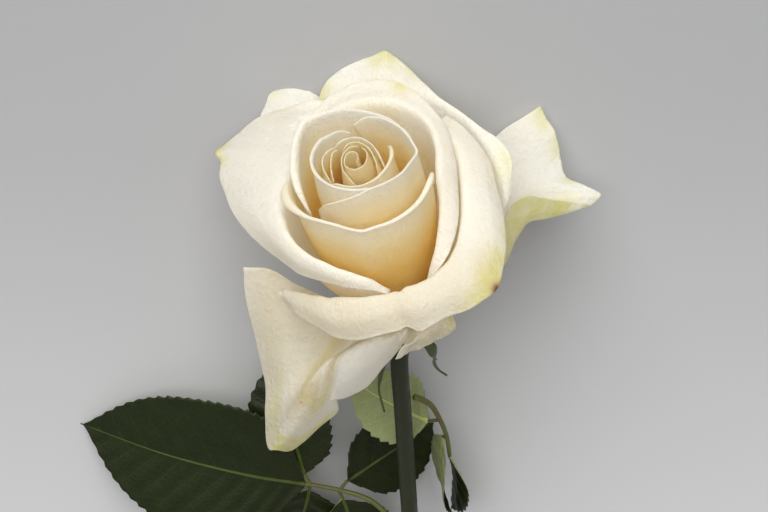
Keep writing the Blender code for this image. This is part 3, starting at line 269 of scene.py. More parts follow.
# Each petal that hangs free, as ribs from its foot to its edge: (azimuth, radius, height).
HANGING_PETALS = {
    "petal_17": [
        [(214, 9, 3.4), (204.7, 14.6, 10.9), (195.7, 20.6, 17.2), (190.9, 25.7, 22), (185.3, 31.7, 27.9),
         (181.1, 39.2, 28.4)],
        [(219, 9, 2.9), (210.4, 14.7, 9.6), (202, 20.9, 14.3), (196.1, 26.7, 18), (189.3, 33.7, 21.7),
         (183.6, 40.8, 20.9)],
        [(224, 9, 2.6), (218.2, 15.8, 8.6), (210.5, 22.1, 11), (202.8, 27.9, 12.6), (195.2, 34.8, 13.2),
         (187.5, 41.9, 11.2)],
        [(229, 9, 2.2), (223.7, 16.7, 7.4), (217, 23.3, 7.9), (207.9, 29.2, 7.1), (199.7, 35.7, 5.5),
         (190.7, 42.4, 1.5)],
        [(234, 9, 2), (227.5, 17.5, 6.2), (221.1, 24, 4.9), (213.6, 30.7, 2), (206.1, 37.5, -2.4),
         (195.1, 43.8, -10.7)],
        [(239, 9, 1.8), (230, 17.7, 5.6), (223.5, 24.1, 3.8), (217.7, 31.6, 0.9), (211.5, 39.8, -6.9),
         (199.9, 47.4, -19.4)],
        [(243, 9, 1.6), (232.5, 17.8, 5.5), (224, 24, 3.5), (221.2, 31.4, 1.7), (212.9, 40.1, -11.2),
         (200.2, 49.8, -32.3)],
        [(246, 9, 1.6), (234.9, 17.8, 5.5), (226.3, 23.7, 3.7), (223.9, 30.9, 3), (217.5, 38.4, -11.1),
         (204.9, 47.5, -31)],
        [(249, 9, 1.6), (235.7, 17.7, 5.5), (227.4, 23.2, 3.9), (226.1, 30.1, 3.9), (220.1, 35.6, -11.5),
         (202.6, 43.2, -36.2)],
        [(253, 9, 1.6), (238.2, 17.7, 5.8), (229.8, 22.8, 4.6), (228.9, 29.1, 5.1), (225.8, 32.6, -7.1),
         (210.3, 34.6, -27.2)],
        [(256, 9, 1.7), (240.7, 17.8, 6.1), (233, 22.2, 5.4), (233.5, 28.6, 7.1), (231.4, 31, -2.4),
         (221.7, 29.3, -18.4)],
        [(259, 9, 1.8), (243.1, 17.8, 6.5), (236.3, 21.6, 6.3), (237.7, 27.9, 8.9), (233.7, 30.8, 1.6),
         (225.6, 32.1, -9.5)],
        [(262, 9, 1.9), (246.5, 17.8, 7.1), (241.2, 20.8, 7.4), (243.8, 26.8, 11), (241.5, 29.9, 4),
         (232.8, 29.9, -8.9)],
        [(266, 9, 2), (250.8, 17.6, 7.6), (248, 20, 8.4), (251, 25.5, 12.8), (250.4, 27.7, 6.9),
         (244.6, 26.2, -6.1)],
        [(271, 9, 2.2), (257.4, 17, 7.9), (256.5, 18.9, 9.1), (259.5, 23.8, 13.6), (260.8, 25.3, 9.5),
         (258.4, 23.1, 0)],
        [(275, 9, 2.3), (265.5, 16.6, 8.1), (267.1, 17.9, 9), (270.1, 22.3, 12), (269.3, 23, 9),
         (266.9, 21.5, 2.7)],
        [(279, 9, 2.4), (275.2, 16.4, 8.9), (279.3, 17.8, 10.3), (282, 21, 12.8), (282.7, 21.7, 12.2),
         (282.7, 21.2, 10)],
    ],
    "petal_18": [
        [(276, 10, 1.2), (278, 18.5, 9.1), (273.9, 20.7, 8.1), (268.5, 20.1, 4)],
        [(283, 10, 1.6), (284.5, 19.5, 9.1), (282.6, 22.6, 8.8), (278.3, 21.5, 3.5)],
        [(293, 10, 2), (289.6, 19.9, 9.5), (290.5, 24.1, 10.7), (292.2, 23.1, 5.3)],
        [(304, 10, 2.2), (294.4, 20, 9.7), (297.6, 24.5, 12), (303.1, 25, 6.9)],
        [(316, 10, 2.2), (301.7, 19.4, 10.4), (305.1, 24.3, 13.2), (312, 27, 8.4)],
        [(326, 10, 2.2), (309.2, 17.9, 10.6), (312.3, 22, 13.3), (316.4, 24.6, 10.7)],
    ],
    "petal_19": [
        [(74, 9, 3), (70, 14, 7.5), (49.2, 20.2, 7.9), (46.9, 36.1, 17.4), (45.4, 47.6, 24.7),
         (43.8, 54.4, 27.5), (41.6, 61, 28.6), (39.6, 67.2, 29.9)],
        [(68, 9, 2.8), (63, 14.5, 6.8), (43.6, 20.3, 6.7), (42.4, 35.7, 14.2), (41.7, 47.3, 21.1),
         (40.7, 54.8, 23.9), (38.9, 60.8, 25.5), (38, 66.8, 26.8)],
        [(61, 9, 2.4), (56, 15, 6), (38.6, 20.4, 5.6), (37.9, 35.7, 11.7), (37.8, 46.9, 18.4),
         (37.3, 54.4, 21.1), (35.8, 60.4, 22.4), (35, 66.5, 23)],
        [(54, 9, 2), (49, 15, 5.2), (33.6, 20.6, 4.5), (33.9, 35.4, 9.2), (34.3, 46.2, 15.7),
         (33.9, 53.4, 18.5), (33.1, 59.4, 19.1), (32.6, 65.2, 19.5)],
        [(47, 9, 1.8), (42, 15, 4.6), (29.3, 20.8, 3.8), (30.2, 35.2, 7.2), (30.9, 45.6, 13.8),
         (30.5, 52.5, 16.3), (30, 58.4, 16.2), (30, 63.5, 16.1)],
        [(40, 9, 1.5), (35, 15, 4), (25.3, 21.3, 3.4), (27.2, 34.8, 6), (28.2, 44.7, 12.7),
         (27.4, 51.8, 15.1), (26.4, 56.8, 15), (26.7, 62.3, 13.3)],
        [(33, 9, 1.3), (28, 15, 3.4), (21.7, 21.5, 3.1), (24.3, 34.3, 5.1), (25.7, 43.7, 12.3),
         (24.6, 50.9, 14.8), (23.7, 57.1, 14), (22.4, 65, 12.8)],
        [(26, 9, 1.2), (21, 15, 2.8), (18.3, 21.9, 2.8), (21.6, 33.7, 4.3), (23.4, 42.3, 11.7),
         (21.9, 49.6, 14.5), (21, 57, 13.8), (19.3, 68.4, 10.1)],
        [(18, 9, 1), (14, 15, 2), (15.2, 22, 2.5), (17.9, 32.8, 3.3), (20.1, 40.2, 10.2), (19.7, 46.5, 13.6),
         (18.9, 54.1, 12.5), (18.8, 67.2, 8.7)],
        [(10, 9, 0.9), (7, 15, 1.2), (12, 22.1, 1.9), (13.2, 32.4, 0.8), (16, 37.8, 6.8), (17, 44.1, 12.7),
         (17.1, 51.3, 11.3), (18.2, 64.2, 8.1)],
        # Its lower border folds back up over it.
        [(6, 9, 1.6), (4, 15, 2), (8.7, 22.7, 3.4), (10.1, 33.9, 5.4), (12.7, 39.5, 12.4), (14, 44.9, 16.9),
         (15.3, 50.5, 14.3), (17.9, 63.8, 8.7)],
        [(2, 9, 2.4), (0.3, 10.8, -1.9), (6.1, 22.8, 5.7), (8.4, 33.7, 11.6), (12.3, 38, 22.5),
         (13.2, 44.4, 26.5), (14.4, 50.4, 21.8), (17.6, 63.5, 9.6)],
    ],
    "petal_20": [
        [(150, 9, 2.2), (148, 20, 9), (146, 30, 17), (145, 36, 25)],
        [(138, 9, 2), (134, 21, 8.6), (131, 33, 16.6), (130, 41, 26)],
        [(124, 9, 2), (119, 21, 8), (116, 34, 15.6), (115, 42, 25.6)],
        [(110, 9, 2), (104, 21, 7.8), (101, 33, 15), (99, 40.5, 24.6)],
        [(96, 9, 2.2), (90, 20, 8), (87, 30, 15), (85, 37, 22)],
    ],
}

# Each sepal: the azimuth of its foot on the hip, the rest of its middle line, and half its foot's width.
SEPALS = {
    "sepal_1": (
        335,
        [(10.4, -11.1, 4), (11.8, -14, 3), (11.5, -17.9, 1.5), (12.6, -21.8, 0), (15.4, -25.2, -1.5)],
        3.4,
    ),
    "sepal_2": (
        255,
        [(-3, -11.5, 5), (-4, -17, 4.2), (-4.6, -23, 2.2), (-5, -30, -0.4), (-3.4, -40, -3.4)],
        2.4,
    ),
    "sepal_3": (185, [(-8.4, -8.6, 0.2), (-12, -14, -2), (-12.4, -21, -5), (-14.6, -29, -7.6)], 2.5),
    "sepal_4": (110, [(-3, -9.4, -9), (-5, -16, -13), (-5.4, -23, -16), (-8, -31, -18.6)], 2.5),
    "sepal_5": (40, [(8.6, -10, -6.4), (10.4, -16.4, -10.4), (10, -23, -13), (12.6, -30, -17)], 2.4),
}

# Each compound leaf: its stalk's middle line, the side stalks that leave it as (start, end), and its
# leaflets. The first leaflet grows from the stalk's end and the others from the side stalks' ends. A leaflet
# is (the rest of its middle line, width, the way its upper face looks, fold).
LEAVES = {
    "leaf_a": {
        "stalk": [
            (1.6, -97.6, -14.6), (-0.8, -92, -14.8), (-4.2, -87, -15.6), (-10, -83.2, -17),
            (-19, -81.4, -18.8), (-28.6, -80.6, -20.6),
        ],
        "side_stalks": [
            ((-27, -80.6, -20.2), (-28.8, -77.2, -21)),
            ((-27, -80.8, -20.2), (-27.4, -84.6, -23)),
            ((-17.6, -81.6, -18.5), (-15.2, -78.6, -19.6)),
            ((-18, -81.8, -18.5), (-16.6, -85.6, -19.2)),
        ],
        "leaflets": [
            ([(-48, -76.6, -20.6), (-74, -72, -25.4), (-101, -67.4, -35.2)], 51, (0.1, 0.05, 1), 0.1),
            ([(-31.6, -66, -23.4), (-34.8, -54, -28.4), (-37.6, -40.6, -35)], 27, (-0.15, 0.1, 1), 0.12),
            ([(-30, -97, -25.6), (-34.6, -112, -29.4), (-41, -128, -35.2)], 29, (0.1, -0.2, 1), 0.12),
            ([(-6, -73.6, -23.4), (3, -68.6, -26.6), (12.6, -62.6, -31)], 30, (0.1, -0.1, 1), 0.08),
            ([(-14, -97, -21), (-10.6, -112, -25), (-10, -127, -33)], 27, (0.2, 0, 1), 0.1),
        ],
    },
    "leaf_b": {
        "stalk": [
            (5.9, -36.4, -6), (8.4, -39, -8.2), (11.2, -43, -10.6), (13.8, -49.4, -12.4), (16, -57, -14.2),
            (17.2, -66, -16),
        ],
        "side_stalks": [
            ((13.6, -49.6, -12.4), (10.4, -52.2, -15.4)),
            ((15.8, -56.6, -14), (15.2, -59.4, -17)),
        ],
        "leaflets": [
            ([(19.4, -76, -20.6), (20, -87, -24.6), (18.6, -99, -31.4)], 15, (-1, 0, 0.4), -0.1),
            ([(4, -51.6, -19.6), (-4.6, -48.4, -22.4), (-14.6, -43.6, -26.4)], 24, (-0.1, -0.3, -1), -0.1),
            ([(14.6, -70, -19.4), (15.4, -83, -22.4), (18.4, -98, -27.4)], 17, (1, 0, -0.22), -0.12),
        ],
    },
}

# ---- curves and nets


def bloom_frame():
    """The bloom's axes as the columns of a matrix, with its own axis last."""
    lean = Matrix.Rotation(math.radians(BLOOM_PITCH - 90), 3, "X")
    turn = Matrix.Rotation(math.radians(BLOOM_YAW), 3, "Z")
    return np.array(turn @ lean)


def from_bloom(points):
    """World positions of points given as (azimuth, radius, height) in the bloom's frame."""
    azimuth = np.radians(points[..., 0])
    across, down = points[..., 1] * np.cos(azimuth), points[..., 1] * np.sin(azimuth)
    return np.stack([across, down, points[..., 2]], axis=-1) @ bloom_frame().T + RECEPTACLE


def even(count):
    """Places from 0 to 1, evenly spaced."""
    return np.linspace(0, 1, count)


def smooth_line(points, places):
    """A Catmull-Rom curve through the points, read at places from 0 to 1 of their number."""
    points = np.asarray(points, float)
    ends = np.concatenate([[2 * points[0] - points[1]], points, [2 * points[-1] - points[-2]]])
    along = places * (len(points) - 1)
    start = np.minimum(along.astype(int), len(points) - 2)
    t = (along - start).reshape(-1, *[1] * (points.ndim - 1))
    a, b, c, d = (ends[start + i] for i in range(4))
    bend = (2 * a - 5 * b + 4 * c - d) * t**2
    return 0.5 * (2 * b + (c - a) * t + bend + (3 * b - a - 3 * c + d) * t**3)


def lengths_along(line):
    """How far along a line of world points each one lies."""
    return np.concatenate([[0], np.cumsum(np.linalg.norm(np.diff(line, axis=0), axis=1))])


def read_line(points, places):
    """The same curve, in the bloom's frame, read at places from 0 to 1 of its length."""
    fine = smooth_line(points, even(LENGTH_SAMPLES))
    length = lengths_along(from_bloom(fine))
    return np.stack([np.interp(places * length[-1], length, fine[:, i]) for i in range(3)], axis=-1)


def wall(shape, azimuth, middle, radius, height, bulge=0):
    """A rib's points from the petal's foot to just under its crest. The foot is nearer the petal's middle."""
    levels, foot_share, widening, fullness, inset = shape
    points = []
    for t in levels:
        share = foot_share + (1 - foot_share) * t**widening
        belly = inset * ((1 - (1 - t) ** fullness) * min(1, t / UPRIGHT_FOOT) ** UPRIGHT_RISE)
        out = PETAL_FOOT_RADIUS + (radius - PETAL_FOOT_RADIUS) * belly + bulge * math.sin(math.pi * t**2)
        up = PETAL_FOOT_HEIGHT + (height - PETAL_FOOT_HEIGHT) * t
        points.append((middle + (azimuth - middle) * share, out, up))
    return points


def bud_ribs(rim, bulge, rolls):
    """Ribs of a petal that wraps the bud: each rises from its foot, swells, and rolls out at its rim."""
    # The azimuths rise all the way, past 360 where they must.
    azimuths = np.degrees(np.unwrap(np.radians([point[0] for point in rim])))
    middle = (azimuths[0] + azimuths[-1]) / 2
    ribs = []
    for azimuth, (_, radius, height), roll in zip(azimuths, rim, np.broadcast_to(rolls, len(rim))):
        crest = radius + ROLLED_RIM[0][0] * roll
        rib = wall(BUD_WALL, azimuth, middle, crest, height, bulge * min(1, radius / BULGING_RADIUS) ** 2)
        ribs.append(rib + [(azimuth, radius + out * roll, height + up * roll) for out, up in ROLLED_RIM])
    return ribs


def open_ribs(stations, curl):
    """Ribs of an opened petal: a swelling wall, a crest, and a lip that turns out beyond it."""
    middle = (stations[0][0] + stations[-1][0]) / 2
    ribs = []
    for i, (azimuth, crest, crest_height, edge, edge_height) in enumerate(stations):
        turned = curl * min(1, (min(i, len(stations) - 1 - i) + CURL_AT_END) / CURL_RUN)
        bulge = LIP_BULGE * abs(crest_height - edge_height)
        lip = ((crest + edge) / 2 + bulge, (crest_height + edge_height) / 2 + bulge)
        rib = wall(OPEN_WALL, azimuth, middle, crest, crest_height)
        rib += [(azimuth, crest, crest_height), (azimuth, *lip)]
        rib += [(azimuth, edge + out * turned, edge_height + up * turned) for out, up in CURLED_EDGE]
        ribs.append(rib)
    return ribs


def net_of(ribs, grid, bunching):
    """A net of points over the petal, with its rows bunched towards the rim."""
    places = 1 - (1 - even(grid[1] + 1)) ** bunching
    return smooth_line([read_line(rib, places) for rib in ribs], even(grid[0] + 1))


def gathered(values, reach, combine):
    """Each value combined with those within reach of it, along one axis and then the other."""
    for _ in (0, 1):
        padded = np.pad(values, [(reach, reach), (0, 0)], mode="edge")
        values = combine([padded[i : i + len(values)] for i in range(2 * reach + 1)], axis=0).T
    return values


def resampled(net, across, along):
    """The net read smoothly at across + 1 by along + 1 places."""
    wide = smooth_line(net, even(across + 1))
    return smooth_line(wide.swapaxes(0, 1), even(along + 1)).swapaxes(0, 1)


class Reach:
    """How far out the petals reach so far, by azimuth and height, so that the next one lies outside them."""

    STEP_AZIMUTH, STEP_HEIGHT, LOWEST, ROWS = 3, 0.5, -45, 270

    def __init__(self):
        self.radius = np.zeros((360 // self.STEP_AZIMUTH, self.ROWS))

    def add(self, net):
        """Widens the reach to hold a petal too."""
        azimuth, radius, height = resampled(net, REACH_SAMPLES, REACH_SAMPLES).reshape(-1, 3).T
        column = np.floor(azimuth / self.STEP_AZIMUTH).astype(int) % len(self.radius)
        row = np.clip(((height - self.LOWEST) / self.STEP_HEIGHT).astype(int), 0, self.ROWS - 1)
        np.maximum.at(self.radius, (column, row), radius)

    def pushed_out(self, net, easing):
        """The net moved outward, smoothly, until it clears the petals inside it."""
        spread = self.radius
        for axis in (0, 1):
            spread = np.max([np.roll(spread, step, axis=axis) for step in (-1, 0, 1)], axis=0)
        column = net[..., 0] / self.STEP_AZIMUTH - 0.5
        row = np.clip((net[..., 2] - self.LOWEST) / self.STEP_HEIGHT - 0.5, 0, self.ROWS - 2)
        i, j = np.floor(column).astype(int), np.floor(row).astype(int)
        s, t = column - i, row - j
        corners = [spread[(i + a) % len(spread), j + b] for a in (0, 1) for b in (0, 1)]
        shares = [(a, b) for a in (1 - s, s) for b in (1 - t, t)]
        reached = sum(corner * a * b for corner, (a, b) in zip(corners, shares))
        needed = np.where(np.min(corners, axis=0) > 0, reached + PETAL_THICKNESS + PETAL_GAP, 0)
        push = np.maximum(0, needed - net[..., 1])
        moved = net.copy()
        moved[..., 1] += gathered(gathered(push, easing, np.max), easing, np.mean)
        return moved


def grain_of(name):
    return BUD_GRAIN if name in BUD_PETALS else OUTER_GRAIN


def petal_nets():
    """Every petal's net by name, from the heart outward, each clear of those inside it."""
    ribs = {name: bud_ribs(rim, bulge, rolls) for name, (bulge, _, rolls, rim) in BUD_PETALS.items()}
    ribs.update((name, open_ribs(stations, curl)) for name, (curl, stations) in OPEN_PETALS.items())
    for name, rows in HANGING_PETALS.items():
        ribs[name] = [[(row[0][0], HANGING_FOOT_RADIUS, PETAL_FOOT_HEIGHT)] + row for row in rows]
    reach = Reach()
    nets = {}
    for name, rows in ribs.items():
        grain = grain_of(name)
        nets[name] = reach.pushed_out(net_of(rows, grain["net"], grain["bunching"]), grain["easing"])
        reach.add(nets[name])
    return nets


# ---- meshes


def unit(vectors):
    return vectors / np.maximum(np.linalg.norm(vectors, axis=-1, keepdims=True), 1e-9)


def normals_of(points):
    """Normals of a grid of points, from the directions across it and along it."""
    return unit(np.cross(unit(np.gradient(points, axis=0)), unit(np.gradient(points, axis=1))))


def placed(name, data):
    """A new object in the scene."""
    thing = bpy.data.objects.new(name, data)
    bpy.context.scene.collection.objects.link(thing)
    return thing


def mesh_object(name, vertices, faces, values, material, node):
    """An object for a node of the frame, with vertices in millimetres and its values as attributes."""
    mesh = bpy.data.meshes.new(name)
    mesh.from_pydata((vertices * MM).tolist(), [], faces)
    for key, array in values.items():
        attribute = mesh.attributes.new(key, "FLOAT", "POINT")
        attribute.data.foreach_set("value", np.asarray(array, np.float32))
    mesh.materials.append(material)
    mesh.shade_smooth()
    mesh.update()
    thing = placed(name, mesh)
    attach(thing, "root")
    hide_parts(node)


def shell_object(name, points, thickness, values, material):
    """A thin closed shell over a grid of world points. Its second face looks along the grid's normals."""
    grid = points.shape[:2]
    offset = normals_of(points) * thickness[..., None] / 2
    vertices = np.stack([points - offset, points + offset]).reshape(-1, 3)
    count = grid[0] * grid[1]
    index = np.arange(count).reshape(grid)
    first = np.stack([index[:-1, :-1], index[:-1, 1:], index[1:, 1:], index[1:, :-1]], axis=-1).reshape(-1, 4)
    border = np.concatenate([index[:-1, 0], index[-1, :-1], index[:0:-1, -1], index[0, :0:-1]])
    after = np.roll(border, -1)
    rim = np.stack([border, after, after + count, border + count], axis=-1)
    faces = np.concatenate([first, first[:, ::-1] + count, rim]).tolist()
    both = {key: np.tile(np.broadcast_to(array, grid).ravel(), 2) for key, array in values.items()}
    both["outer"] = np.repeat([0, 1], count)
    mesh_object(name, vertices, faces, both, material, name)


# ---- material nodes


class Nodes:
    """Short ways to add and link a material's nodes."""

    def __init__(self, name):
        self.material = bpy.data.materials.new(name)
        self.material.use_nodes = True
        self.tree = self.material.node_tree
        self.shader = self.tree.nodes["Principled BSDF"]

    def put(self, socket, value):
        if isinstance(value, bpy.types.NodeSocket):
            self.tree.links.new(value, socket)
        else:
            socket.default_value = (*value, 1) if socket.type == "RGBA" else value

    def add(self, kind, inputs, output=0, **settings):
        node = self.tree.nodes.new("ShaderNode" + kind)
        for key, value in settings.items():
            setattr(node, key, value)
        for key, value in inputs.items():
            self.put(node.inputs[key], value)
        return node.outputs[output]

    def value(self, name):
        """A mesh attribute's value."""
        return self.add("Attribute", {}, "Fac", attribute_name=name)

    def place(self):
        return self.add("TexCoord", {}, "Object")

    def math(self, operation, a, b=0):
        return self.add("Math", {0: a, 1: b}, operation=operation)

    def times(self, a, b):
        return self.math("MULTIPLY", a, b)

    def noise(self, vector, scale, detail=3, roughness=0.5):
        inputs = {"Vector": vector, "Scale": scale, "Detail": detail, "Roughness": roughness}
        return self.add("TexNoise", inputs)

    def streaks(self, across, per_across, along, per_along):
        """Noise drawn out along a surface: it turns faster across it than along it."""
        x, y = self.times(across, per_across), self.times(along, per_along)
        return self.noise(self.add("CombineXYZ", {"X": x, "Y": y}), 3, 4, 0.6)

    def fade(self, value, low, high, to_low=0, to_high=1):
        """value carried smoothly from low..high to to_low..to_high."""
        inputs = dict(enumerate((value, low, high, to_low, to_high)))
        return self.add("MapRange", inputs, interpolation_type="SMOOTHSTEP")

    def mix(self, share, a, b):
        """Colour a with a share of it turned to colour b."""
        return self.add("Mix", {0: share, 6: a, 7: b}, 2, data_type="RGBA")

    def bump(self, height, distance, strength, normal=None):
        inputs = {"Height": height, "Distance": distance, "Strength": strength}
        return self.add("Bump", inputs if normal is None else {**inputs, "Normal": normal})

    def finish(self, colour, roughness, normal, specular):
        inputs = self.shader.inputs
        self.put(inputs["Base Color"], colour)
        self.put(inputs["Roughness"], roughness)
        self.put(inputs["Normal"], normal)
        self.put(inputs["Specular IOR Level"], specular)
        return self.material

    def let_through(self, colour, normal, share):
        """Lets a share of the light through the surface, tinted by its colour."""
        passing = self.add("BsdfTranslucent", {"Color": colour, "Normal": normal})
        mixed = self.add("MixShader", {0: share, 1: self.shader.outputs[0], 2: passing})
        self.put(self.tree.nodes["Material Output"].inputs["Surface"], mixed)


PETAL_LETS_THROUGH = 0.64
# From a petal's rim down into the bloom: partly the petal's own amber base, partly painted warm bounce light
# of the gaps between petals.
CREAM_TO_AMBER = ((0.99, 0.977, 0.93), (0.992, 0.95, 0.8), (0.997, 0.9, 0.57), (0.998, 0.845, 0.38))
# The tan colour is partly browning and partly painted shade.
AGED_AND_SHADE, MOTTLED, VEINED = (0.8, 0.7, 0.43), (0.965, 0.91, 0.77), (0.96, 0.9, 0.7)
YELLOW_GREEN, DARK_RED = (0.83, 0.8, 0.27), (0.3, 0.03, 0.04)
# A leaflet's colours, upper face and underside: darker and lighter blotches, net, side veins, middle vein.
LEAF_TOP = (
    (0.006, 0.01, 0.001), (0.014, 0.02, 0.003), (0.02, 0.034, 0.009), (0.03, 0.045, 0.008),
    (0.055, 0.075, 0.012),
)
LEAF_BACK = (
    (0.2, 0.235, 0.1), (0.28, 0.32, 0.15), (0.34, 0.38, 0.18), (0.36, 0.39, 0.16), (0.42, 0.45, 0.15),
)
CUT_GREEN = (0.55, 0.6, 0.36)
# Each green tube's dark and light streaks, its flush, and how much of that shows.
STEM_COLOURS = {
    "rose_stem": ((0.008, 0.011, 0.003), (0.022, 0.028, 0.007), (0.03, 0.022, 0.007), 0.3),
    "rose_sepal": ((0.03, 0.045, 0.012), (0.08, 0.1, 0.03), (0.08, 0.02, 0.012), 0.4),
    "rose_stalk": ((0.05, 0.06, 0.012), (0.12, 0.13, 0.025), (0.13, 0.035, 0.02), 0.6),
}
# The floor's colour far and near: painted paler near, to make up for the lamps' light falling off there.
FLOOR_FAR, FLOOR_NEAR = (0.345, 0.349, 0.357), (0.545, 0.549, 0.556)


def petal_material():
    """Cream petal: whiter at its rim, amber deep inside (partly painted bounce light), veined along its ribs,
    yellow-green in patches, tan in spots (partly painted shade).
    """
    n = Nodes("rose_petal")
    across, along = n.value("across"), n.value("along")
    warm, green, red, aged_and_shade = n.value("warm"), n.value("green"), n.value("red"), n.value("aged_and_shade")
    place = n.place()
    # Cream to amber: the petal's own base colour, with painted warm bounce light deep in the bloom.
    colour = CREAM_TO_AMBER[0]
    for warmer, start in zip(CREAM_TO_AMBER[1:], (0, 0.3, 0.6)):
        colour = n.mix(n.fade(warm, start, start + 0.4), colour, warmer)
    # Tan spots: partly browning, partly painted shade.
    colour = n.mix(aged_and_shade, colour, AGED_AND_SHADE)
    mottling = n.noise(place, scale=120, detail=4)
    colour = n.mix(n.fade(mottling, 0.45, 0.75, to_high=0.2), colour, MOTTLED)
    fibres = n.streaks(across, 17, along, 1.3)
    veins = n.fade(fibres, 0.5, 0.66)
    colour = n.mix(n.times(veins, 0.08), colour, VEINED)
    patches = n.noise(place, 260, 4, 0.6)
    colour = n.mix(n.times(green, n.fade(patches, 0.3, 0.6, to_low=0.55)), colour, YELLOW_GREEN)
    colour = n.mix(red, colour, DARK_RED)
    cells = n.noise(place, scale=2600, detail=2)
    crepe = n.noise(place, 520, 4, 0.6)
    normal = n.bump(fibres, distance=0.0009, strength=0.55)
    normal = n.bump(n.times(crepe, n.fade(warm, 0.1, 0.4, to_low=1, to_high=0.3)), 0.0012, 0.6, normal)
    normal = n.bump(cells, 0.00004, 0.3, normal)
    roughness = n.fade(mottling, 0.3, 0.7, to_low=0.48, to_high=0.62)
    n.let_through(colour, normal, PETAL_LETS_THROUGH)
    return n.finish(colour, roughness, normal, specular=0.35)


def leaf_material():
    """Dark green leaflet with yellow-green veins and a pale, matte underside."""
    n = Nodes("rose_leaf")
    aside, down, outer, share = (n.value(name) for name in ("aside", "down", "outer", "share"))
    place = n.place()
    away = n.math("ABSOLUTE", aside)
    left = n.math("GREATER_THAN", aside, 0)
    # Side veins leave the middle one at a slant, on one side and then on the other, and wander a little.
    wander = n.times(n.noise(place, scale=90, detail=2), 2.2)
    slant = n.math("ADD", n.math("SUBTRACT", down, n.times(away, VEIN_SLANT)), wander)
    phase = n.math("ADD", n.math("DIVIDE", slant, VEIN_SPACING), n.times(left, VEIN_OFFSET))
    gap = n.math("ABSOLUTE", n.math("SUBTRACT", n.math("FRACT", phase), 0.5))
    side_vein = n.times(n.fade(gap, 0, 0.045, 1, 0), n.fade(share, 0.55, 0.95, 1, 0))
    mid_width = n.fade(n.value("lengthwise"), 0, 1, to_low=0.75, to_high=0.2)
    mid_vein = n.fade(n.math("DIVIDE", away, mid_width), 0.55, 1, 1, 0)
    inputs = {"Vector": place, "Scale": 520}
    cell = n.add("TexVoronoi", inputs, "Distance", feature="DISTANCE_TO_EDGE")
    net = n.fade(cell, 0, 0.09, 1, 0)
    blotch = n.noise(place, scale=160, detail=4)
    faces = []
    for colours, net_share, vein_share in ((LEAF_TOP, 0.22, 0.4), (LEAF_BACK, 0.35, 0.7)):
        face = n.mix(blotch, colours[0], colours[1])
        face = n.mix(n.times(net, net_share), face, colours[2])
        face = n.mix(n.times(side_vein, vein_share), face, colours[3])
        faces.append(n.mix(mid_vein, face, colours[4]))
    colour = n.mix(outer, faces[1], faces[0])
    raised = n.math("MAXIMUM", n.times(side_vein, 0.6), mid_vein)
    normal = n.bump(n.math("SUBTRACT", 1, raised), distance=0.0004, strength=0.6)
    normal = n.bump(net, 0.0001, 0.4, normal)
    normal = n.bump(n.noise(place, scale=1400), 0.0001, 0.35, normal)
    roughness = n.math("SUBTRACT", 0.72, n.times(outer, 0.27))
    return n.finish(colour, roughness, normal, specular=0.22)


def stem_material(name):
    """Green stem: streaked lengthwise, mottled, flushed in blotches, paler where it is cut."""
    dark, light, flush, flush_share = STEM_COLOURS[name]
    n = Nodes(name)
    around, down, cut = n.value("around"), n.value("down"), n.value("cut")
    place = n.place()
    streaks = n.streaks(around, 9, down, 0.05)
    blotch = n.noise(place, scale=220, detail=4)
    colour = n.mix(streaks, dark, light)
    colour = n.mix(n.fade(blotch, 0.45, 0.75, to_high=flush_share), colour, flush)
    colour = n.mix(cut, colour, CUT_GREEN)
    normal = n.bump(streaks, distance=0.0002, strength=0.5)
    normal = n.bump(n.noise(place, scale=1500), 0.0001, 0.3, normal)
    roughness = n.fade(blotch, 0.3, 0.7, to_low=0.42, to_high=0.58)
    return n.finish(colour, roughness, normal, specular=0.4)


def floor_material():
    """A plain pale paper floor, painted paler towards the near end, where the lamps' light falls off."""
    n = Nodes("pale_floor")
    place = n.place()
    along = n.add("SeparateXYZ", {"Vector": place}, "Y")
    # Painted light: paler towards the near end, where the lamps light the floor less.
    paler = n.math("ADD", n.fade(along, 0.18, -0.1), n.times(n.noise(place, scale=9), 0.08))
    colour = n.mix(paler, FLOOR_FAR, FLOOR_NEAR)
    normal = n.bump(n.noise(place, scale=900, detail=4), distance=0.0002, strength=0.15)
    return n.finish(colour, 0.85, normal, specular=0.2)


# ---- pieces


def ripples(seed, cells, size):
    """A smooth random field, the same every time, about 0 and within about 1 either way."""
    coarse = np.random.default_rng(seed).uniform(-1, 1, (cells[0] + 1, cells[1] + 1, 1))
    return resampled(coarse, *size)[..., 0]


def tint(spots, polar, below):
    """How strongly each point of a petal is tinted by its spots."""
    shade = np.zeros(below.shape)
    for azimuth, depth, reach, strength in spots:
        aside = np.radians((polar[..., 0] - azimuth + 180) % 360 - 180) * polar[..., 1]
        shade = np.maximum(shade, strength * np.exp(-(aside**2 + (below - depth) ** 2) / reach**2))
    return shade


def ragged(polar, seed, size, depth):
    """A petal's grid with its rim drawn in a little, unevenly."""
    shift, cells = RAGGED_FIELD
    drawn_in = np.abs(ripples(seed + shift, cells, size)[:, :1]) * depth
    rows = even(size[1] + 1)[None, :] * (1 - drawn_in) * size[1]
    low = np.minimum(rows.astype(int), size[1] - 1)
    part = (rows - low)[..., None]
    column = np.arange(size[0] + 1)[:, None]
    return polar[column, low] * (1 - part) + polar[column, low + 1] * part


def warmth(name, below, heights):
    """How warm a petal's colour is: warmer the further a point lies below the rim, or below the crest. It is
    partly the petal's own amber base and partly painted warm bounce light of the bloom's gaps.
    """
    if name in BUD_PETALS:
        return np.clip(BUD_PETALS[name][1] + below / BUD_WARMING, 0, 1)
    if name in OPEN_PETALS:
        crest = np.take_along_axis(below, heights.argmax(axis=1)[:, None], axis=1)
        return np.clip((below - crest - OPEN_COOL) / OPEN_WARMING, 0, 1) ** OPEN_WARMTH_POWER
    return np.clip((below - HANGING_COOL) / HANGING_WARMING, 0, 1)


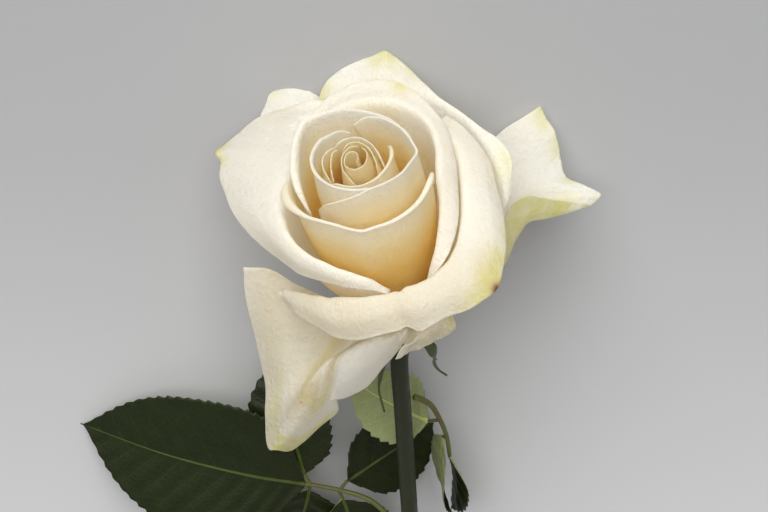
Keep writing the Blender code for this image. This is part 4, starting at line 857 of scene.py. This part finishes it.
def make_petals():
    material = petal_material()
    for seed, (name, net) in enumerate(petal_nets().items()):
        grain = grain_of(name)
        size = grain["mesh"]
        polar = ragged(resampled(net, *size), seed, size, grain["ragged"])
        points = from_bloom(polar)
        u, v = even(size[0] + 1)[:, None], even(size[1] + 1)
        rise = np.clip((v - RIPPLE_START) / (1 - RIPPLE_START), 0, 1) ** 2
        wave = sum(ripples(seed + shift, cells, size) * share for shift, cells, share in RIPPLE_FIELDS)
        points = points + normals_of(points) * (wave * rise * grain["ripple"])[..., None]
        steps = np.linalg.norm(np.diff(points, axis=1), axis=2)
        below = np.pad(np.cumsum(steps[:, ::-1], axis=1)[:, ::-1], [(0, 0), (0, 1)])
        edge = np.clip(np.minimum(np.minimum(u, 1 - u), 1 - v) * EDGE_STEEPNESS, 0, 1)
        values = {
            "across": (polar[..., 0] - polar[0, 0, 0]) / 360 * FIBRES_PER_TURN, "along": below / FIBRE_LENGTH,
            "warm": warmth(name, below, polar[..., 2]),
        }
        for key, tints in TINTS.items():
            values[key] = tint(tints.get(name, []), polar, below)
        thickness = PETAL_EDGE + (PETAL_THICKNESS - PETAL_EDGE) * edge
        shell_object(name, points, thickness, values, material)


def blade_points(middle, half_widths, facing, fold, across):
    """World points of a blade along its middle line, folded along it so that its sides rise or fall."""
    line = smooth_line(middle, even(len(half_widths))) + RECEPTACLE
    ahead = unit(np.gradient(line, axis=0))
    side = unit(np.cross(ahead, facing))
    up = unit(np.cross(side, ahead))
    u = np.linspace(-1, 1, across + 1)[:, None, None]
    reach = half_widths[None, :, None]
    return line[None] + side[None] * u * reach + up[None] * fold * np.abs(u) * reach


def make_leaflet(name, middle, width, facing, fold, material):
    places = even(LEAF_ALONG + 1)
    shape = places**FOOT_POWER * (1 - places) ** TIP_POWER * (1 - TIP_DRAW * places**TIP_DRAW_POWER)
    shape = shape / shape.max()
    length = lengths_along(smooth_line(middle, places))[-1]
    saw = (places * (length / TOOTH_LENGTH)) % 1
    bite = np.where(saw < TOOTH_PEAK, saw / TOOTH_PEAK, (1 - saw) / (1 - TOOTH_PEAK))
    bite = TOOTH_DEPTH * bite * np.clip(shape * TOOTH_SPREAD, 0, 1)
    half = np.maximum(LEAST_HALF_WIDTH, shape * width / 2)
    half = (half + bite - TOOTH_INSET) * np.clip(FOOT_SHARE + places * FOOT_SPREAD, 0, 1)
    half = np.maximum(LEAST_HALF_WIDTH, half)
    points = blade_points(middle, half, facing, fold, LEAF_ACROSS)
    u = np.linspace(-1, 1, LEAF_ACROSS + 1)[:, None]
    aside, away, down = u * half, np.abs(u), places * length
    phase = (down - VEIN_SLANT * np.abs(aside)) / VEIN_SPACING + np.where(aside > 0, VEIN_OFFSET, 0)
    quilt = QUILT_HEIGHT * np.cos(2 * np.pi * phase) * np.clip(away * QUILT_START, 0, 1)
    quilt = quilt * np.clip((1 - away) * QUILT_END, 0, 1)
    waves = LEAF_WAVE * np.sin(down / LEAF_WAVE_RUN + np.where(aside > 0, 0, LEAF_WAVE_SHIFT)) * away**2
    points = points + normals_of(points) * (quilt + waves)[..., None]
    edge = np.clip((1 - away) * LEAF_EDGE_STEEPNESS, 0, 1)
    mid_vein = np.exp(-((aside / MID_VEIN_REACH) ** 2)) * (1 - places) ** MID_VEIN_TAPER
    thickness = LEAF_EDGE + (LEAF_THICKNESS - LEAF_EDGE) * edge + MID_VEIN_HEIGHT * mid_vein
    values = {"aside": aside, "down": down, "share": away, "lengthwise": places}
    shell_object(name, points, thickness, values, material)


def make_sepals(material):
    places = even(SEPAL_ALONG + 1)
    u = np.linspace(-1, 1, SEPAL_ACROSS + 1)[:, None]
    for name, (azimuth, rest, width) in SEPALS.items():
        foot = from_bloom(np.array([azimuth, SEPAL_FOOT_RADIUS, -SEPAL_FOOT_DEPTH])) - RECEPTACLE
        middle = [foot, *rest]
        facing = (-rest[0][0], 0, -rest[0][2])
        half = np.maximum(LEAST_HALF_WIDTH, width * (1 - places) ** SEPAL_TAPER)
        points = blade_points(middle, half, facing, SEPAL_FOLD, SEPAL_ACROSS)
        down = places * lengths_along(smooth_line(middle, places))[-1]
        thickness = SEPAL_EDGE + SEPAL_KEEL * (1 - np.abs(u)) * half / half.max()
        values = {"around": u * SEPAL_STREAKS, "down": down, "cut": 0}
        shell_object(name, points, thickness, values, material)


def tube_mesh(line, radii, sides):
    """Vertices, faces and values of a tube along world points, closed by a flat face at each end."""
    ahead = unit(np.gradient(line, axis=0))
    side = unit(np.cross(ahead, TUBE_CROSSING))
    up = np.cross(side, ahead)
    angles = np.linspace(0, 2 * np.pi, sides, endpoint=False)
    ring = np.cos(angles)[None, :, None] * side[:, None] + np.sin(angles)[None, :, None] * up[:, None]
    vertices = (line[:, None] + ring * radii[:, None, None]).reshape(-1, 3)
    count = len(line)
    index = np.arange(count * sides).reshape(count, sides)
    after = np.roll(index, -1, axis=1)
    faces = np.stack([index[:-1], after[:-1], after[1:], index[1:]], axis=-1).reshape(-1, 4).tolist()
    faces += [index[0, ::-1].tolist(), index[-1].tolist()]
    around, down = np.tile(np.sin(angles), count), np.repeat(lengths_along(line), sides)
    return vertices, faces, {"around": around, "down": down, "cut": np.zeros(count * sides)}


def make_stem(material):
    """The stem with its hip and receptacle, from the receptacle's top down to the cut end."""
    down = -bloom_frame()[:, 2]
    end_height = STEM_RADIUS - RECEPTACLE[2]
    run = math.sqrt(STEM_LENGTH**2 - end_height**2)
    straight = np.array([STEM_LEAN * run, -run, end_height])
    points, radii = [], []
    for distance, radius in HIP_PROFILE:
        points.append(down * distance + np.array([0, 0, HIP_BOW * distance**2]))
        radii.append([radius])
    for part in np.linspace(STEM_START, 1, STEM_STATIONS):
        points.append(straight * part)
        radii.append([STEM_RADIUS + (NECK_RADIUS - STEM_RADIUS) * (1 - part)])
    line, girth = (smooth_line(stations, even(STEM_RINGS)) for stations in (points + RECEPTACLE, radii))
    vertices, faces, values = tube_mesh(line, girth[:, 0], STEM_SIDES)
    values["cut"][-STEM_SIDES:] = 1
    mesh_object("stem", vertices, faces, values, material, "stem")


def make_leaf(name, leaf, stalk_material, material):
    line = smooth_line(leaf["stalk"], even(STALK_RINGS)) + RECEPTACLE
    radii = np.linspace(STALK_RADIUS_AT_STEM, STALK_RADIUS_AT_END, len(line))
    vertices, faces, values = tube_mesh(line, radii, STALK_SIDES)
    radii = np.full(SIDE_STALK_RINGS, SIDE_STALK_RADIUS)
    for start, end in leaf["side_stalks"]:
        side_line = smooth_line([start, end], even(len(radii))) + RECEPTACLE
        more, more_faces, more_values = tube_mesh(side_line, radii, SIDE_STALK_SIDES)
        faces += [[i + len(vertices) for i in face] for face in more_faces]
        vertices = np.concatenate([vertices, more])
        values = {key: np.concatenate([values[key], more_values[key]]) for key in values}
    mesh_object(name + "_stalk", vertices, faces, values, stalk_material, name + "_stalk")
    ends = [leaf["stalk"][-1]] + [end for _, end in leaf["side_stalks"]]
    for i, (end, (rest, width, facing, fold)) in enumerate(zip(ends, leaf["leaflets"]), 1):
        middle = [end + unit(np.array(rest[0]) - end) * STALK_GAP, *rest]
        make_leaflet(f"{name}_leaflet_{i}", middle, width, facing, fold, material)


# ---- camera, light and floor

CAMERA_TILT = 32
CAMERA_DISTANCE, CLIP_START, VIEW_WIDTH = 0.7, 0.01, 0.2259
SENSOR_WIDTH = 36
RECEPTACLE_IN_VIEW = (3.5, -15.3)
# Each light's offset from the middle of the view in metres, its size, power and colour.
LIGHTS = {
    "key": ((-0.35, 1.95, 2.05), 2.8, 103, (1, 0.99, 0.975)),
    "heart_light": ((-0.1, 2.3, 0.75), 1.2, 20, (1, 0.985, 0.96)),
}
WORLD_STRENGTH = 0.4
FLOOR_REACH = 3
MAX_BOUNCES, SOFT_BOUNCES = 48, 40


def make_camera():
    """A camera that looks down on the rose from in front of the bloom. Gives the middle of its view."""
    tilt = math.radians(CAMERA_TILT)
    right = Vector((1, 0, 0))
    up = Vector((0, math.cos(tilt), -math.sin(tilt)))
    back = Vector((0, math.sin(tilt), math.cos(tilt)))
    target = Vector(RECEPTACLE * MM) - (right * RECEPTACLE_IN_VIEW[0] + up * RECEPTACLE_IN_VIEW[1]) * MM
    camera = placed("camera", bpy.data.cameras.new("camera"))
    matrix = Matrix((right, up, back)).transposed().to_4x4()
    matrix.translation = target + back * CAMERA_DISTANCE
    camera.matrix_world = matrix
    camera.data.sensor_width = SENSOR_WIDTH
    camera.data.lens = SENSOR_WIDTH * CAMERA_DISTANCE / VIEW_WIDTH
    camera.data.clip_start = CLIP_START
    bpy.context.scene.camera = camera
    return target


def make_studio(target):
    """Two soft lights, a pale surround and the floor."""
    scene = bpy.context.scene
    scene.world = bpy.data.worlds.new("studio")
    scene.world.use_nodes = True
    background = scene.world.node_tree.nodes["Background"]
    background.inputs["Color"].default_value = (1, 1, 1, 1)
    background.inputs["Strength"].default_value = WORLD_STRENGTH
    for name, (offset, size, power, colour) in LIGHTS.items():
        light = bpy.data.lights.new(name, "AREA")
        light.size, light.energy, light.color = size, power, colour
        thing = placed(name, light)
        thing.location = target + Vector(offset)
        thing.rotation_euler = Vector(offset).to_track_quat("Z", "Y").to_euler()
    mesh = bpy.data.meshes.new("floor")
    corners = [(x * FLOOR_REACH, y * FLOOR_REACH, 0) for x, y in ((-1, -1), (1, -1), (1, 1), (-1, 1))]
    mesh.from_pydata(corners, [], [range(4)])
    mesh.materials.append(floor_material())
    thing = placed("floor", mesh)
    scene.view_settings.view_transform = "Standard"
    scene.cycles.max_bounces = MAX_BOUNCES
    scene.cycles.diffuse_bounces = scene.cycles.transmission_bounces = SOFT_BOUNCES


def main():
    make_studio(make_camera())
    stem, sepal, stalk = (stem_material(name) for name in STEM_COLOURS)
    make_stem(stem)
    make_petals()
    make_sepals(sepal)
    leaf = leaf_material()
    for name, parts in LEAVES.items():
        make_leaf(name, parts, stalk, leaf)


main()
